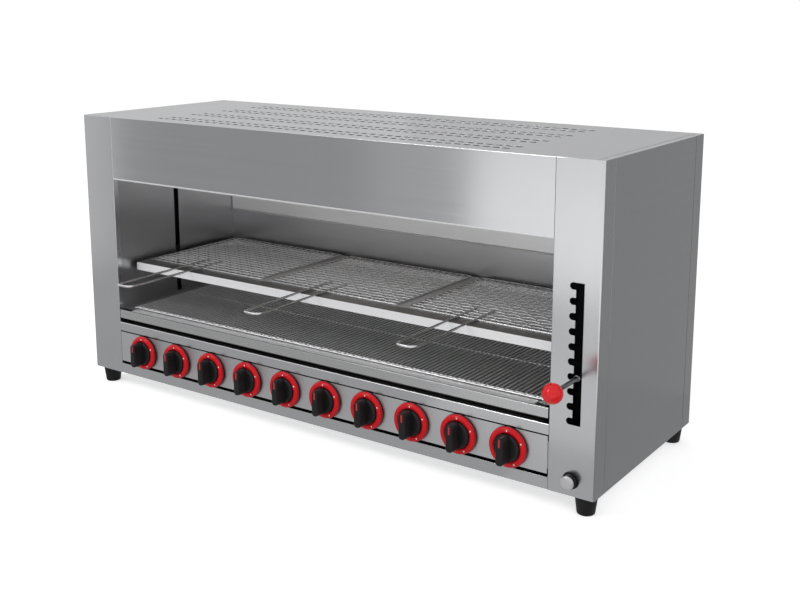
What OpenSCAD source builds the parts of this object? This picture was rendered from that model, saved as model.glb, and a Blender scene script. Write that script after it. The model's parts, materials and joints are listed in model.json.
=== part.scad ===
// Gas cheese melter (salamander grill) with ten infrared burners in its hood, a rack that is
// raised and lowered by a lever in a notched slot, a lower grid and a drip tray.
// Seen from the front: X runs to the right from the middle, Y runs from the front to the back,
// Z runs up from the surface that the feet stand on. The origin is the middle of the footprint.

/* [Casing] */
// Number of burners, and of knobs
burner_count = 10; // [6:1:12]
// Distance between neighbouring burners, and between neighbouring knobs
burner_pitch = 100; // [98:0.5:104]
// Space between the last burner's share and the post
end_margin = 24.5; // [23:0.5:34]
// Width of each front post
post_w = 85.5; // [84:0.5:95]
// Depth of the cooking cavity, from the front face to its back wall
cavity_d = 363; // [360:1:390]
// Depth of the flue behind the cavity, to the outer back face
flue_d = 67; // [55:1:80]
// Height of the casing without its feet
body_h = 565; // [560:1:600]
// Height of the hood's front face
fascia_h = 135; // [125:1:136]
// Thickness of the stainless sheet
sheet_t = 1.2; // [1:0.1:1.4]
// How far the posts and the back panel wrap round the sides
wrap_d = 38; // [30:1:45]
// Width of the fold along the top of the side panels
top_fold = 13; // [10:1:16]
// Depth of the small return folds along sheet edges
lip_d = 12; // [8:1:13]
// Height of the sheet that shields the upper part of the cavity's back wall
deflector_h = 134; // [90:1:150]
// Diameter of the back panel's screws
screw_d = 4; // [3:0.5:6]

/* [Front strips] */
// Height of the base pan's front lip
base_lip_h = 22; // [16:1:24]
// Open gap between the base lip and the control panel
panel_gap = 5; // [3:0.5:7]
// Height of the control panel
panel_h = 68.5; // [68:0.5:76]
// Seam between the control panel and its neighbours
panel_seam = 1.5; // [1:0.25:2.5]
// Height of the rail under the drip tray
rail_h = 19; // [15:1:24]

/* [Feet] */
// Height of a rubber foot
foot_h = 35; // [25:1:50]
// Diameter of a foot where it meets the casing
foot_top_d = 41; // [34:1:43]
// Diameter of a foot on the ground
foot_base_d = 31; // [24:1:33]
// Distance of each foot's axis from the casing's edges
foot_inset = 25; // [22:1:30]
// Diameter of the bolt that holds a foot
foot_bolt_d = 8; // [6:1:10]

/* [Top vents] */
// Length of one vent slot
vent_l = 13; // [10:1:15]
// Width of one vent slot
vent_w = 4; // [3:0.5:5]
// Distance between slots along a row
vent_pitch = 19.25; // [18.5:0.25:21]
// Distance between the two rows of a pair
vent_row_pitch = 28; // [24:1:32]
// Number of pairs of rows
vent_pairs = 4; // [2:1:4]
// Distance between pairs
vent_pair_pitch = 95; // [85:1:96]
// Distance of the first row behind the front face
vent_front = 39; // [34:1:50]
// Plain margin at each end of the rows, from the casing's side
vent_end = 185; // [150:5:240]

/* [Burners] */
// Length of a burner, front to back
burner_l = 280; // [274:1:282]
// Distance of a burner's front end behind the front face
burner_front = 46; // [44:1:50]
// Height of a burner's box
burner_box_h = 44; // [38:1:46]
// Wall of a burner's box
burner_wall = 3; // [2:0.5:3.5]
// Gap between neighbouring burners
burner_gap = 2; // [1:0.5:3]
// Size of a ceramic tile along the burner
tile_l = 132; // [128:1:133]
// Size of a ceramic tile across the burner
tile_w = 91.5; // [84:0.5:91.5]
// Thickness of a ceramic tile
tile_t = 13; // [12:0.5:16]
// Gap between two tiles of one burner
tile_joint = 0.6; // [0.4:0.1:1]
// Outer diameter of a burner's mixing tube
mixer_d = 26; // [22:1:28]
// Distance of the mixing tube's end behind the burner's front end
mixer_l = 200; // [170:5:220]
// Length of the throat from the mixing tube down into the burner
throat_l = 50; // [40:1:60]
// Width of that throat
throat_w = 18; // [14:1:20]
// Height of the burner frame above the hood's lower edge
burner_lift = 16; // [13:1:18]

/* [Gas] */
// Outer diameter of the gas manifold and supply pipe
pipe_d = 21.3; // [17:0.1:22]
// Distance of the manifold's axis behind the front face
manifold_y = 62; // [60:1:66]
// Outer diameter of a burner's supply tube
tube_d = 6; // [5:0.5:7]
// Distance between neighbouring supply tubes where they run side by side
lane_pitch = 10; // [9:0.5:11]
// Height of the supply tubes above the bottom of the casing
lane_z = 34; // [30:1:36]
// Width of a gas valve's body
valve_w = 26; // [22:1:30]
// Height of a gas valve's body
valve_h = 30; // [26:1:32]
// Outside diameter of the gas inlet's parallel thread
inlet_d = 20.955; // [19:0.005:21]
// How far the gas inlet stands out of the back
inlet_reach = 20; // [14:1:30]

/* [Knobs] */
// Height of the knobs' axes above the lower edge of the control panel
knob_rise = 32.5; // [30:0.5:36]
// Outer diameter of the red ring behind a knob
bezel_d = 73; // [66:1:74]
// Inner diameter of the red ring
bezel_in_d = 50.6; // [48:0.2:54]
// How far the red ring stands out of the panel
bezel_reach = 10; // [8:0.5:12]
// Clearance between a knob and its ring
knob_clear = 0.5; // [0.3:0.1:1]
// Width of a knob's grip bar
grip_w = 16; // [13:0.5:18]
// Length of a knob's grip bar
grip_l = 52; // [50:1:60]
// How far a grip stands out of the panel
grip_reach = 35; // [30:1:40]
// Diameter of a valve spindle
spindle_d = 8; // [6:0.5:9]
// Radial clearance of a turning spindle or pin in its bore
run_clear = 0.08; // [0.04:0.01:0.1]

/* [Igniter] */
// Distance of the igniter's axis from the casing's right side
igniter_in = 42.5; // [36:0.5:46]
// Height of the igniter's axis above the bottom of the casing
igniter_z = 28; // [26:1:34]
// Diameter of the push button's black stem
button_d = 25; // [20:1:27]
// How far the push button stands out of the post
button_reach = 17; // [15:1:20]
// Travel of the push button
button_travel = 6; // [4:0.5:7]

/* [Rack lift] */
// Number of notches for the lever
notch_count = 10; // [8:1:10]
// Distance between notches
notch_pitch = 25.4; // [24:0.1:26]
// Height of one notch
notch_h = 12; // [10:0.5:14]
// Depth of a notch from the edge of the slot
notch_depth = 11; // [9:0.5:13]
// Notch that the lever is level with, counted from the lowest, which is 0
rest_notch = 3; // [0:1:9]
// Width of the slot that the lever rises in
lever_slot_w = 15; // [13:0.5:17]
// Distance of the lever slot's middle from the casing's right side
lever_in = 36; // [33:0.5:38]
// Diameter of the lever
lever_d = 8; // [6:0.5:10]
// Distance of the ball's middle in front of the front face
ball_y = 88; // [70:1:100]
// Diameter of the ball knob
ball_d = 34; // [28:1:38]
// Distance of the lever's pivot behind the front face
pivot_y = 150; // [145:1:152]
// Diameter of the lever's pivot pin
pivot_d = 6; // [5:0.5:7]
// Distance of the guide rods behind the front face
guide_y = 181; // [179:1:190]
// Diameter of a guide rod
guide_d = 12; // [10:0.5:14]
// Distance of each guide rod outside the cavity
guide_out = 31; // [29:1:33]
// Width of the slot in the cavity's side wall
arm_slot_w = 14.4; // [12:0.2:16]
// Width of the arm that goes through that slot
arm_w = 10; // [8:0.5:11]
// Height of that arm
arm_h = 12; // [9:0.5:14]

/* [Rack] */
// Height of the rack frame's front strip
strip_h = 17; // [15:0.5:20]
// Thickness of the rack frame's steel
frame_t = 2; // [1.5:0.25:2.5]
// Height of the rack frame's top above the lever
rack_rise = 36.4; // [34:0.2:40]
// Distance of the rack frame behind the front face
rack_front = 46; // [40:1:54]
// Gap between the rack frame and the cavity's walls
rack_side_gap = 10.5; // [8:0.5:14]
// Gap between the rack frame and the cavity's back wall
rack_back_gap = 7; // [5:0.5:12]
// Depth of the rack frame's front flange
front_flange = 46; // [42:1:50]
// Width of the rack frame's other flanges
side_flange = 22; // [18:1:26]
// Width of the two bars between the wire racks
crossbar_w = 34; // [30:1:38]
// Free height between the lowered rack and the lower grid
rack_clear = 1.5; // [1:0.25:4]
// Gap between neighbouring wire racks
mesh_gap = 22; // [16:1:26]
// Distance of a wire rack's front edge behind the rack frame's front
mesh_setback = 34; // [30:1:38]
// Thickness of a wire rack
mesh_t = 3.5; // [3:0.25:5]
// Distance between the wires of a wire rack
mesh_cell = 20; // [18:1:30]
// Width of a wire rack's wires
mesh_bar = 3; // [2:0.25:4]
// Diameter of a handle's wire
handle_wire = 5; // [4:0.5:6]
// Width of a handle, between its wires' middles
handle_w = 38; // [32:1:46]
// Distance of a handle's end in front of the front face
handle_reach = 124; // [110:1:135]
// Sideways offset of a handle from the middle of its wire rack
handle_shift = -28; // [-40:1:40]

/* [Drip tray and lower grid] */
// Height of the finger gap under the drip tray's front
finger_gap = 10; // [8:0.5:14]
// Height of the drip tray's front
tray_front_h = 18; // [15:0.5:22]
// Height of the drip tray's walls
tray_wall_h = 20; // [16:0.5:21]
// Gap between the drip tray's front and each post
tray_end_gap = 2; // [1:0.25:4]
// Sideways space between the drip tray's walls and the cavity's walls
tray_side_gap = 20; // [18:1:26]
// Gap between the drip tray and the cavity's back wall
tray_rear_gap = 10; // [6:0.5:14]
// Distance of the drip tray's front wall behind its front
tray_nose = 14; // [13:0.5:18]
// Clearance under pieces that slide or lift out
seat_clear = 0.3; // [0.2:0.05:0.5]
// Thickness of the lower grid
grid_t = 4; // [3:0.25:5]
// Gap between the lower grid and the cavity's walls
grid_side_gap = 21.5; // [16:0.5:26]
// Distance of the lower grid behind the front face
grid_front = 25; // [2:1:30]
// Gap between the lower grid and the cavity's back wall
grid_rear_gap = 11; // [8:0.5:14]
// Width of the bars of the lower grid
grid_bar = 3; // [2:0.25:4]
// Distance between the bars of the lower grid
grid_pitch = 10; // [9:0.5:14]
// Width of the ledge that carries the lower grid
ledge_w = 30; // [28:1:34]

/* [Hidden] */
$fn = 48;

STEEL = "#b4b5ba";
DARK_STEEL = "#77787c";
WIRE = "#c9cacc";
BLACK = "#1c1c1e";
RED = "#c81e2b";
BRASS = "#b8964e";
CERAMIC = "#e6dcc8";

// Casing
cavity_half = burner_count * burner_pitch / 2 + end_margin;
half_w = cavity_half + post_w;
body_d = cavity_d + flue_d;
wall_x = cavity_half + sheet_t;
hood_z = body_h - fascia_h;
frame_z = hood_z + burner_lift;
front_reach = max(handle_reach, ball_y + ball_d / 2);
front_y = (front_reach - body_d - inlet_reach) / 2;
roof_z = body_h - sheet_t;

screw_columns = [-0.94, -0.32, 0.32, 0.94];
screw_rows = [0.04, 0.5, 0.93];

// Front strips
panel_z = base_lip_h + panel_gap;
shelf_z = panel_z + panel_h + panel_seam + rail_h;
knob_z = panel_z + knob_rise;

// Drip tray and lower grid
tray_front_z = shelf_z + finger_gap;
tray_top = tray_front_z + tray_front_h;
tray_half = wall_x - tray_side_gap;
tray_floor_z = shelf_z + seat_clear;
tray_wall_z = tray_floor_z + tray_wall_h;
tray_far = cavity_d - tray_rear_gap;
ledge_z = tray_top;
grid_z = ledge_z + seat_clear;
grid_half = cavity_half - grid_side_gap;
grid_d = cavity_d - grid_front - grid_rear_gap;

// Rack and its lift
low_notch_z = grid_z + grid_t + rack_clear + strip_h - rack_rise;
lever_z = low_notch_z + rest_notch * notch_pitch;
top_notch_z = low_notch_z + (notch_count - 1) * notch_pitch;
lever_x = half_w - lever_in;
guide_x = cavity_half + guide_out;
rack_top = lever_z + rack_rise;
rack_half = cavity_half - rack_side_gap;
rack_d = cavity_d - rack_back_gap - rack_front;
bay_pitch = 2 * rack_half / 3;
arm_z = rack_top - strip_h / 2;
slider_w = 32;
slider_x = guide_x - slider_w / 2;
guide_low = 52;
bracket_w = 30;
bracket_t = 8;
slider_low = lever_z - 22;
slider_high = arm_z + 16;
ear_t = 5;
lift_down = rest_notch * notch_pitch;
lift_up = (notch_count - 1 - rest_notch) * notch_pitch;
arm_slot_low = arm_z - arm_h / 2 - lift_down - 3;

// Knobs
knob_disc_d = bezel_in_d - 2 * knob_clear;
knob_face_y = -bezel_reach - 2.5;

// Burners and gas
burner_w = burner_pitch - burner_gap;
tile_rows = max(1, floor((burner_l - 2 * burner_wall - 2) / (tile_l + tile_joint)));
tiles_l = tile_rows * (tile_l + tile_joint) + tile_joint;
tiles_mid = burner_front + burner_l / 2;
mixer_z = frame_z + sheet_t + burner_box_h + mixer_d / 2;
lane_first = manifold_y + pipe_d / 2 + 12;
lane_last = lane_first + (burner_count - 1) * lane_pitch;
riser_x = half_w - sheet_t - 14;
hood_lane_z = roof_z - 26;
injector_y = burner_front + 16;
injector_d = 12;
injector_nose = injector_d + 2;
valve_z = knob_z - valve_h / 2;
manifold_half = cavity_half - end_margin;
inlet_x = manifold_half + pipe_d / 2 + 1;
inlet_body_l = 40;
cross_tube_d = 10;
cross_tube_y = burner_front - 7;
cross_tube_z = frame_z - cross_tube_d / 2 - 0.2;
igniter_x = half_w - igniter_in;
sleeve_bore = button_d + 2 * run_clear;
igniter_l = 60;
lead_d = 4;
lead_y = igniter_l + 3 * lead_d;
electrode_up = 22;
lead_z = frame_z + electrode_up + 3.5 * lead_d;
electrode_x = cavity_half - 14;
electrode_y = cross_tube_y - 13;

// Stands a piece that is drawn from the front face and the casing's bottom on its feet
module from_front() translate([0, front_y, foot_h]) children();

// The same piece at the left and at the right
module both_sides() {
    children();
    mirror([1, 0, 0]) children();
}

// A box between two corners
module block(low, high) translate(low) cube(high - low);

// A round bar along Y, from one depth to another
module bar_y(x, z, y0, y1, d) translate([x, y0, z]) rotate([-90, 0, 0]) cylinder(d = d, h = y1 - y0);

// A round bar along X
module bar_x(x0, x1, y, z, d) translate([x0, y, z]) rotate([0, 90, 0]) cylinder(d = d, h = x1 - x0);

// A bent tube of square turns through a list of points, with a ball in each bend
module bent_tube(points, d) {
    for (i = [1 : len(points) - 1]) {
        run = points[i] - points[i - 1];
        translate(points[i - 1])
            rotate([0, acos(run.z / norm(run)), atan2(run.y, run.x)])
                cylinder(d = d, h = norm(run));
    }
    for (i = [1 : 1 : len(points) - 2]) translate(points[i]) sphere(d = d);
}

function burner_x(i) = (i - (burner_count + 1) / 2) * burner_pitch;
function lane_y(i) = lane_first + (i - 1) * lane_pitch;

// ---------------------------------------------------------------- casing

module foot_places() for (x = [-1, 1], y = [foot_inset, body_d - foot_inset])
    translate([x * (half_w - foot_inset), y, 0]) children();

module base_pan() color(STEEL) from_front() difference() {
    union() {
        block([-half_w + sheet_t, sheet_t, 0], [half_w - sheet_t, body_d - sheet_t, sheet_t]);
        block([-cavity_half, 0, 0], [cavity_half, sheet_t, base_lip_h]);
        block([-cavity_half, body_d - 2 * sheet_t, 0], [cavity_half, body_d - sheet_t, lip_d]);
    }
    foot_places() translate([0, 0, -1]) cylinder(d = foot_bolt_d, h = sheet_t + 2);
}

module foot() rotate_extrude() polygon([
    [foot_bolt_d / 2, 0], [foot_top_d / 2, 0], [foot_base_d / 2, 3 - foot_h],
    [foot_base_d / 2 - 3, -foot_h], [0, -foot_h], [0, 8 - foot_h], [foot_bolt_d / 2, 8 - foot_h]]);

module feet() color(BLACK) from_front() foot_places() foot();

// The bolts that hold the feet, and the screws of the back panel
module casing_fixings() color(WIRE) from_front() {
    foot_places() {
        translate([0, 0, 8 - foot_h]) cylinder(d = foot_bolt_d, h = foot_h);
        translate([0, 0, sheet_t]) cylinder(d = foot_bolt_d * 1.7, h = 7, $fn = 6);
    }
    screw_places() {
        bar_y(0, 0, body_d - 8, body_d, screw_d);
        bar_y(0, 0, body_d, body_d + screw_d * 0.6, 2 * screw_d);
    }
}

// One front post: front face, outer wrap, inner return and top flap, drawn at the right
module post_shell() {
    block([cavity_half, 0, 0], [half_w, sheet_t, body_h]);
    block([half_w - sheet_t, 0, 0], [half_w, wrap_d, body_h]);
    block([cavity_half, 0, sheet_t], [cavity_half + sheet_t, lip_d, roof_z]);
    block([half_w - top_fold, 0, roof_z], [half_w, wrap_d, body_h]);
}

module left_post() color(STEEL) from_front() mirror([1, 0, 0]) post_shell();

// The slot that the lever rises in, with its notches on the inner side
module lever_slot() {
    translate([lever_x, 0, 0]) {
        translate([-lever_slot_w / 2, 0])
            square_up(lever_slot_w, low_notch_z - notch_h / 2, top_notch_z + notch_h / 2);
        for (i = [0 : notch_count - 1]) translate([0, low_notch_z + i * notch_pitch]) {
            translate([-lever_slot_w / 2 - notch_depth + notch_h / 2, 0]) circle(d = notch_h);
            translate([-lever_slot_w / 2 - notch_depth + notch_h / 2, -notch_h / 2])
                square([notch_depth, notch_h]);
        }
    }
}

module square_up(width, z0, z1) translate([0, z0]) square([width, z1 - z0]);

module right_post() color(STEEL) from_front() difference() {
    post_shell();
    translate([0, sheet_t + 1, 0]) rotate([90, 0, 0]) linear_extrude(sheet_t + 2) lever_slot();
    bar_y(igniter_x, igniter_z, -1, sheet_t + 1, button_d + 2);
}

module side_panel() {
    block([half_w - sheet_t, wrap_d, 0], [half_w, body_d - wrap_d, body_h]);
    block([half_w - top_fold, wrap_d, roof_z], [half_w, body_d - wrap_d, body_h]);
}

module right_side_panel() color(STEEL) from_front() side_panel();
module left_side_panel() color(STEEL) from_front() mirror([1, 0, 0]) side_panel();

module back_panel() color(STEEL) from_front() difference() {
    union() {
        block([-half_w, body_d - sheet_t, 0], [half_w, body_d, body_h]);
        block([-cavity_half, body_d - lip_d, roof_z - sheet_t],
            [cavity_half, body_d - sheet_t, roof_z]);
        both_sides() {
            block([half_w - sheet_t, body_d - wrap_d, 0], [half_w, body_d, body_h]);
            block([half_w - top_fold, body_d - wrap_d, roof_z], [half_w, body_d, body_h]);
        }
    }
    bar_y(inlet_x, knob_z, body_d - sheet_t - 1, body_d + 1, inlet_d + 3);
    screw_places() bar_y(0, 0, body_d - sheet_t - 1, body_d + 1, screw_d);
}

// Vent slots in pairs of rows, the rear row of a pair shifted by half a pitch
module vent_slots() {
    gaps = floor((2 * (half_w - vent_end) - vent_l) / vent_pitch);
    for (pair = [0 : vent_pairs - 1], row = [0, 1], slot = [0 : gaps])
        translate([(slot - gaps / 2 + row / 2 - 0.25) * vent_pitch - vent_l / 2,
                vent_front + pair * vent_pair_pitch + row * vent_row_pitch])
            square([vent_l, vent_w]);
}

module top_panel() color(STEEL) from_front() translate([0, 0, roof_z]) linear_extrude(sheet_t)
    difference() {
        translate([-half_w + top_fold, sheet_t])
            square([2 * (half_w - top_fold), body_d - 2 * sheet_t]);
        vent_slots();
    }

module hood_fascia() color(STEEL) from_front() {
    block([-cavity_half, 0, hood_z], [cavity_half, sheet_t, body_h]);
    block([-cavity_half, 0, hood_z], [cavity_half, lip_d, hood_z + sheet_t]);
    block([-cavity_half, 0, roof_z - sheet_t], [cavity_half, lip_d, roof_z]);
}

// A cavity side wall, with the slot for the rack's arm, drawn at the right
module inner_wall() difference() {
    block([wall_x, sheet_t, sheet_t], [wall_x + sheet_t, cavity_d, frame_z]);
    block([wall_x - 1, guide_y - arm_slot_w / 2, arm_slot_low],
        [wall_x + sheet_t + 1, guide_y + arm_slot_w / 2, frame_z - 18]);
}

module right_inner_wall() color(DARK_STEEL) from_front() inner_wall();

module left_inner_wall() color(DARK_STEEL) from_front() difference() {
    mirror([1, 0, 0]) inner_wall();
    block([-wall_x - sheet_t - 1, lane_first - tube_d, lane_z - tube_d],
        [-wall_x + 1, lane_last + tube_d, lane_z + tube_d]);
    bar_x(-wall_x - sheet_t - 1, -wall_x + 1, manifold_y, knob_z, tube_d + 3);
    bar_x(-wall_x - sheet_t - 1, -wall_x + 1, cross_tube_y, cross_tube_z, tube_d + 2);
}

module cavity_back_wall() color(DARK_STEEL) from_front()
    block([-wall_x - sheet_t, cavity_d, shelf_z - rail_h], [wall_x + sheet_t, cavity_d + sheet_t, frame_z]);

// Sheet over the upper part of the back wall, behind the burners' heat
module back_wall_deflector() color(DARK_STEEL) from_front()
    block([2 - cavity_half, cavity_d - sheet_t, frame_z - deflector_h],
        [cavity_half - 2, cavity_d, frame_z]);

// Frame that the burners lie in, with a folded front edge on the hood's return
module burner_frame() color(DARK_STEEL) from_front() difference() {
    union() {
        block([-wall_x - lip_d, lip_d + 1, frame_z], [wall_x + lip_d, cavity_d + 5, frame_z + sheet_t]);
        block([-cavity_half, lip_d + 1, hood_z + sheet_t],
            [cavity_half, lip_d + 1 + sheet_t, frame_z + sheet_t]);
        block([-cavity_half, lip_d - 5, hood_z + sheet_t],
            [cavity_half, lip_d + 1 + sheet_t, hood_z + 2 * sheet_t]);
    }
    block([-manifold_half + 2, burner_front + burner_wall, frame_z - 1],
        [manifold_half - 2, burner_front + burner_l - burner_wall, frame_z + sheet_t + 1]);
    translate([electrode_x, electrode_y, frame_z - 1]) cylinder(d = 8, h = sheet_t + 2);
}

// Shelf under the drip tray; its front edge is the rail between the tray and the control panel
module tray_shelf() color(STEEL) from_front() {
    block([-cavity_half, 0, shelf_z - sheet_t], [cavity_half, cavity_d, shelf_z]);
    block([-cavity_half, 0, shelf_z - rail_h], [cavity_half, sheet_t, shelf_z]);
    both_sides() block([cavity_half - sheet_t, lip_d + 1, shelf_z - lip_d],
        [wall_x, cavity_d, shelf_z - sheet_t]);
}

module control_panel() color(STEEL) from_front() difference() {
    block([-cavity_half + panel_seam, 0, panel_z], [cavity_half - panel_seam, sheet_t, panel_z + panel_h]);
    for (i = [1 : burner_count]) bar_y(burner_x(i), knob_z, -1, sheet_t + 1, spindle_d + 4);
}

// Brackets behind the ends of the control panel, and round the ends of the guide rods
module inner_brackets() color(DARK_STEEL) from_front() both_sides() {
    block([cavity_half - 20, sheet_t, panel_z + 10],
        [cavity_half, 2 * sheet_t, panel_z + panel_h - 10]);
    block([cavity_half - sheet_t, sheet_t, panel_z + 10],
        [cavity_half, lip_d, panel_z + panel_h - 10]);
    for (z = [guide_low + 8, frame_z - 22]) difference() {
        block([wall_x + sheet_t, guide_y - bracket_w / 2, z],
            [guide_x + bracket_w / 2, guide_y + bracket_w / 2, z + bracket_t]);
        translate([guide_x, guide_y, z - 1]) cylinder(d = guide_d, h = bracket_t + 2);
    }
}

// Ledges on the cavity's side walls, which carry the lower grid
module grid_ledges() color(DARK_STEEL) from_front() both_sides() {
    block([wall_x - ledge_w, tray_nose + 2, ledge_z - sheet_t], [wall_x, cavity_d - 8, ledge_z]);
    block([wall_x - sheet_t, tray_nose + 2, ledge_z - lip_d], [wall_x, cavity_d - 8, ledge_z]);
}

module screw_places() for (x = screw_columns, z = screw_rows)
    translate([x * half_w, 0, z * body_h]) children();

// ---------------------------------------------------------------- burners and gas

module burner_bodies() color(DARK_STEEL) from_front() for (i = [1 : burner_count])
    translate([burner_x(i), 0, frame_z + sheet_t]) {
        difference() {
            block([-burner_w / 2, burner_front, 0], [burner_w / 2, burner_front + burner_l, burner_box_h]);
            block([-tile_w / 2, tiles_mid - tiles_l / 2, -1],
                [tile_w / 2, tiles_mid + tiles_l / 2, burner_box_h - burner_wall]);
        }
        translate([0, 0, burner_box_h + mixer_d / 2]) difference() {
            union() {
                bar_y(0, 0, injector_y + injector_nose, burner_front + mixer_l, mixer_d);
                block([-throat_w / 2, burner_front + mixer_l - throat_l, -mixer_d / 2],
                    [throat_w / 2, burner_front + mixer_l, 0]);
            }
            bar_y(0, 0, injector_y + injector_nose - 1, burner_front + mixer_l - 2 * throat_l,
                mixer_d - 4);
        }
    }

module ceramic_tiles() color(CERAMIC) from_front()
    for (i = [1 : burner_count], k = [0 : tile_rows - 1])
        translate([burner_x(i) - tile_w / 2,
                tiles_mid - tiles_l / 2 + tile_joint + k * (tile_l + tile_joint), frame_z])
            cube([tile_w, tile_l, tile_t]);

// Injector on the end of a supply tube, pointing into the mixing tube
module injector(i) {
    bar_y(burner_x(i), mixer_z, injector_y - injector_d / 2, injector_y + injector_nose, injector_d);
    translate([burner_x(i), injector_y, mixer_z]) cylinder(d = tube_d + 3, h = injector_d / 2 + 2);
    bar_y(burner_x(i), mixer_z, injector_y + injector_nose, injector_y + injector_d * 1.7,
        injector_d * 0.4);
}

// From each valve back to its own lane, left, up the left side box, right over the burners
module burner_supply_tubes() color(BRASS) from_front() for (i = [1 : burner_count]) {
    injector(i);
    bent_tube([
        [burner_x(i), 32, valve_z], [burner_x(i), 32, lane_z], [burner_x(i), lane_y(i), lane_z],
        [-riser_x, lane_y(i), lane_z], [-riser_x, lane_y(i), hood_lane_z],
        [burner_x(i), lane_y(i), hood_lane_z], [burner_x(i), injector_y, hood_lane_z],
        [burner_x(i), injector_y, mixer_z + injector_d / 2 + 2]], tube_d);
}

module gas_manifold() color(DARK_STEEL) from_front()
    bar_x(-manifold_half, manifold_half, manifold_y, knob_z, pipe_d);

module gas_valves() color(BRASS) from_front() for (i = [1 : burner_count])
    translate([burner_x(i), 0, knob_z]) difference() {
        union() {
            block([-valve_w / 2, 20, -valve_h / 2], [valve_w / 2, manifold_y, valve_h / 2]);
            bar_y(0, 0, 8, 20, 16);
        }
        bar_y(0, 0, 7, 36, spindle_d + 2 * run_clear);
        bar_x(-valve_w, valve_w, manifold_y, 0, pipe_d);
    }

module gas_supply_pipe() color(DARK_STEEL) from_front() bent_tube([
    [manifold_half, manifold_y, knob_z], [inlet_x, manifold_y, knob_z],
    [inlet_x, body_d - inlet_body_l, knob_z]], pipe_d);

module gas_inlet() color(BRASS) from_front() {
    bar_y(inlet_x, knob_z, body_d - inlet_body_l, body_d - sheet_t, pipe_d + 7);
    bar_y(inlet_x, knob_z, body_d - sheet_t, body_d + inlet_reach, inlet_d);
}

// Pierced tube along the front of the burners, which lights one from the next
module cross_light_tube() color(DARK_STEEL) from_front()
    bar_x(-manifold_half + 4, manifold_half - 4, cross_tube_y, cross_tube_z, cross_tube_d);

module pilot_feed_tube() color(BRASS) from_front() bent_tube([
    [-manifold_half, manifold_y, knob_z], [-guide_x - 30, manifold_y, knob_z],
    [-guide_x - 30, manifold_y, cross_tube_z], [-guide_x - 30, cross_tube_y, cross_tube_z],
    [-manifold_half + 4, cross_tube_y, cross_tube_z]], tube_d);

// ---------------------------------------------------------------- igniter

module igniter_body() color(BLACK) from_front() translate([igniter_x, 0, igniter_z]) difference() {
    union() {
        bar_y(0, 0, -2.5, 0, button_d + 5);
        bar_y(0, 0, 0, 30, button_d + 2);
        bar_y(0, 0, 30, igniter_l, button_d - 7);
    }
    bar_y(0, 0, -3.5, 24, sleeve_bore);
}

module igniter_button() color(BLACK) from_front()
    bar_y(igniter_x, igniter_z, 3 - button_reach, 23.5 - button_travel, button_d);

module igniter_cap() color(WIRE) from_front()
    bar_y(igniter_x, igniter_z, -button_reach, 3 - button_reach, button_d - 1);

module ignition_electrode() color(CERAMIC) from_front() {
    translate([electrode_x, electrode_y, frame_z - 8]) cylinder(d = 7, h = electrode_up + 8);
    translate([electrode_x, electrode_y, frame_z + sheet_t]) cylinder(d = 12, h = 5);
}

module ignition_lead() color(RED) from_front() bent_tube([
    [igniter_x, igniter_l, igniter_z], [igniter_x, lead_y, igniter_z],
    [riser_x, lead_y, igniter_z], [riser_x, lead_y, lead_z], [electrode_x, lead_y, lead_z],
    [electrode_x, electrode_y, lead_z], [electrode_x, electrode_y, frame_z + electrode_up]],
    lead_d);

// ---------------------------------------------------------------- knobs

module knob_bezels() color(RED) from_front() for (i = [1 : burner_count])
    translate([burner_x(i), 0, knob_z]) rotate([90, 0, 0]) rotate_extrude() polygon([
        [bezel_in_d / 2, 0], [bezel_d / 2, 0], [bezel_d / 2, bezel_reach * 0.3],
        [bezel_d / 2 - 2.5, bezel_reach * 0.8], [bezel_d / 2 - 6, bezel_reach],
        [bezel_in_d / 2 + 1, bezel_reach * 0.9], [bezel_in_d / 2, bezel_reach * 0.7]]);

// A knob with its grip bar and the valve spindle that it turns
module knob(i) color(BLACK) from_front() translate([burner_x(i), 0, knob_z]) {
    bar_y(0, 0, knob_face_y, -2, knob_disc_d);
    intersection() {
        bar_y(0, 0, -grip_reach, knob_face_y, grip_l);
        block([-grip_w / 2, -grip_reach, -grip_l / 2], [grip_w / 2, knob_face_y, grip_l / 2]);
    }
    bar_y(0, 0, -2, 35, spindle_d);
}

// ---------------------------------------------------------------- rack lift

module guide_rods() color(WIRE) from_front() both_sides()
    translate([guide_x, guide_y, guide_low]) cylinder(d = guide_d, h = frame_z - guide_low);

// The block that runs on a guide rod, drawn at the right
module slider() difference() {
    block([slider_x, guide_y - 16, slider_low], [slider_x + slider_w, guide_y + 16, slider_high]);
    translate([guide_x, guide_y, slider_low - 1])
        cylinder(d = guide_d + 2 * run_clear, h = slider_high - slider_low + 2);
}

module left_slider() color(DARK_STEEL) from_front() mirror([1, 0, 0]) slider();

// The right block also carries the two ears that hold the lever's pin
module right_slider() color(DARK_STEEL) from_front() difference() {
    union() {
        slider();
        for (side = [-1, 1]) translate([0, 0, lever_z + side * (lever_d / 2 + 0.4 + ear_t / 2)])
            block([slider_x + 8, pivot_y - 10, -ear_t / 2], [lever_x + 11, guide_y - 16, ear_t / 2]);
    }
    translate([lever_x, pivot_y, lever_z - 20]) cylinder(d = pivot_d, h = 40);
}

module lever_pin() color(WIRE) from_front() translate([lever_x, pivot_y, lever_z]) {
    pin_half = lever_d / 2 + 0.4 + ear_t;
    translate([0, 0, -pin_half]) cylinder(d = pivot_d, h = 2 * pin_half);
    translate([0, 0, pin_half]) cylinder(d = pivot_d + 5, h = 2.5);
}

module lever_rod() color(WIRE) from_front() difference() {
    union() {
        bar_y(lever_x, lever_z, -ball_y, pivot_y, lever_d);
        translate([lever_x, pivot_y, lever_z - lever_d / 2]) cylinder(d = 2 * pivot_d + 5, h = lever_d);
    }
    translate([lever_x, pivot_y, lever_z - lever_d]) cylinder(d = pivot_d + 2 * run_clear, h = 2 * lever_d);
}

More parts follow.
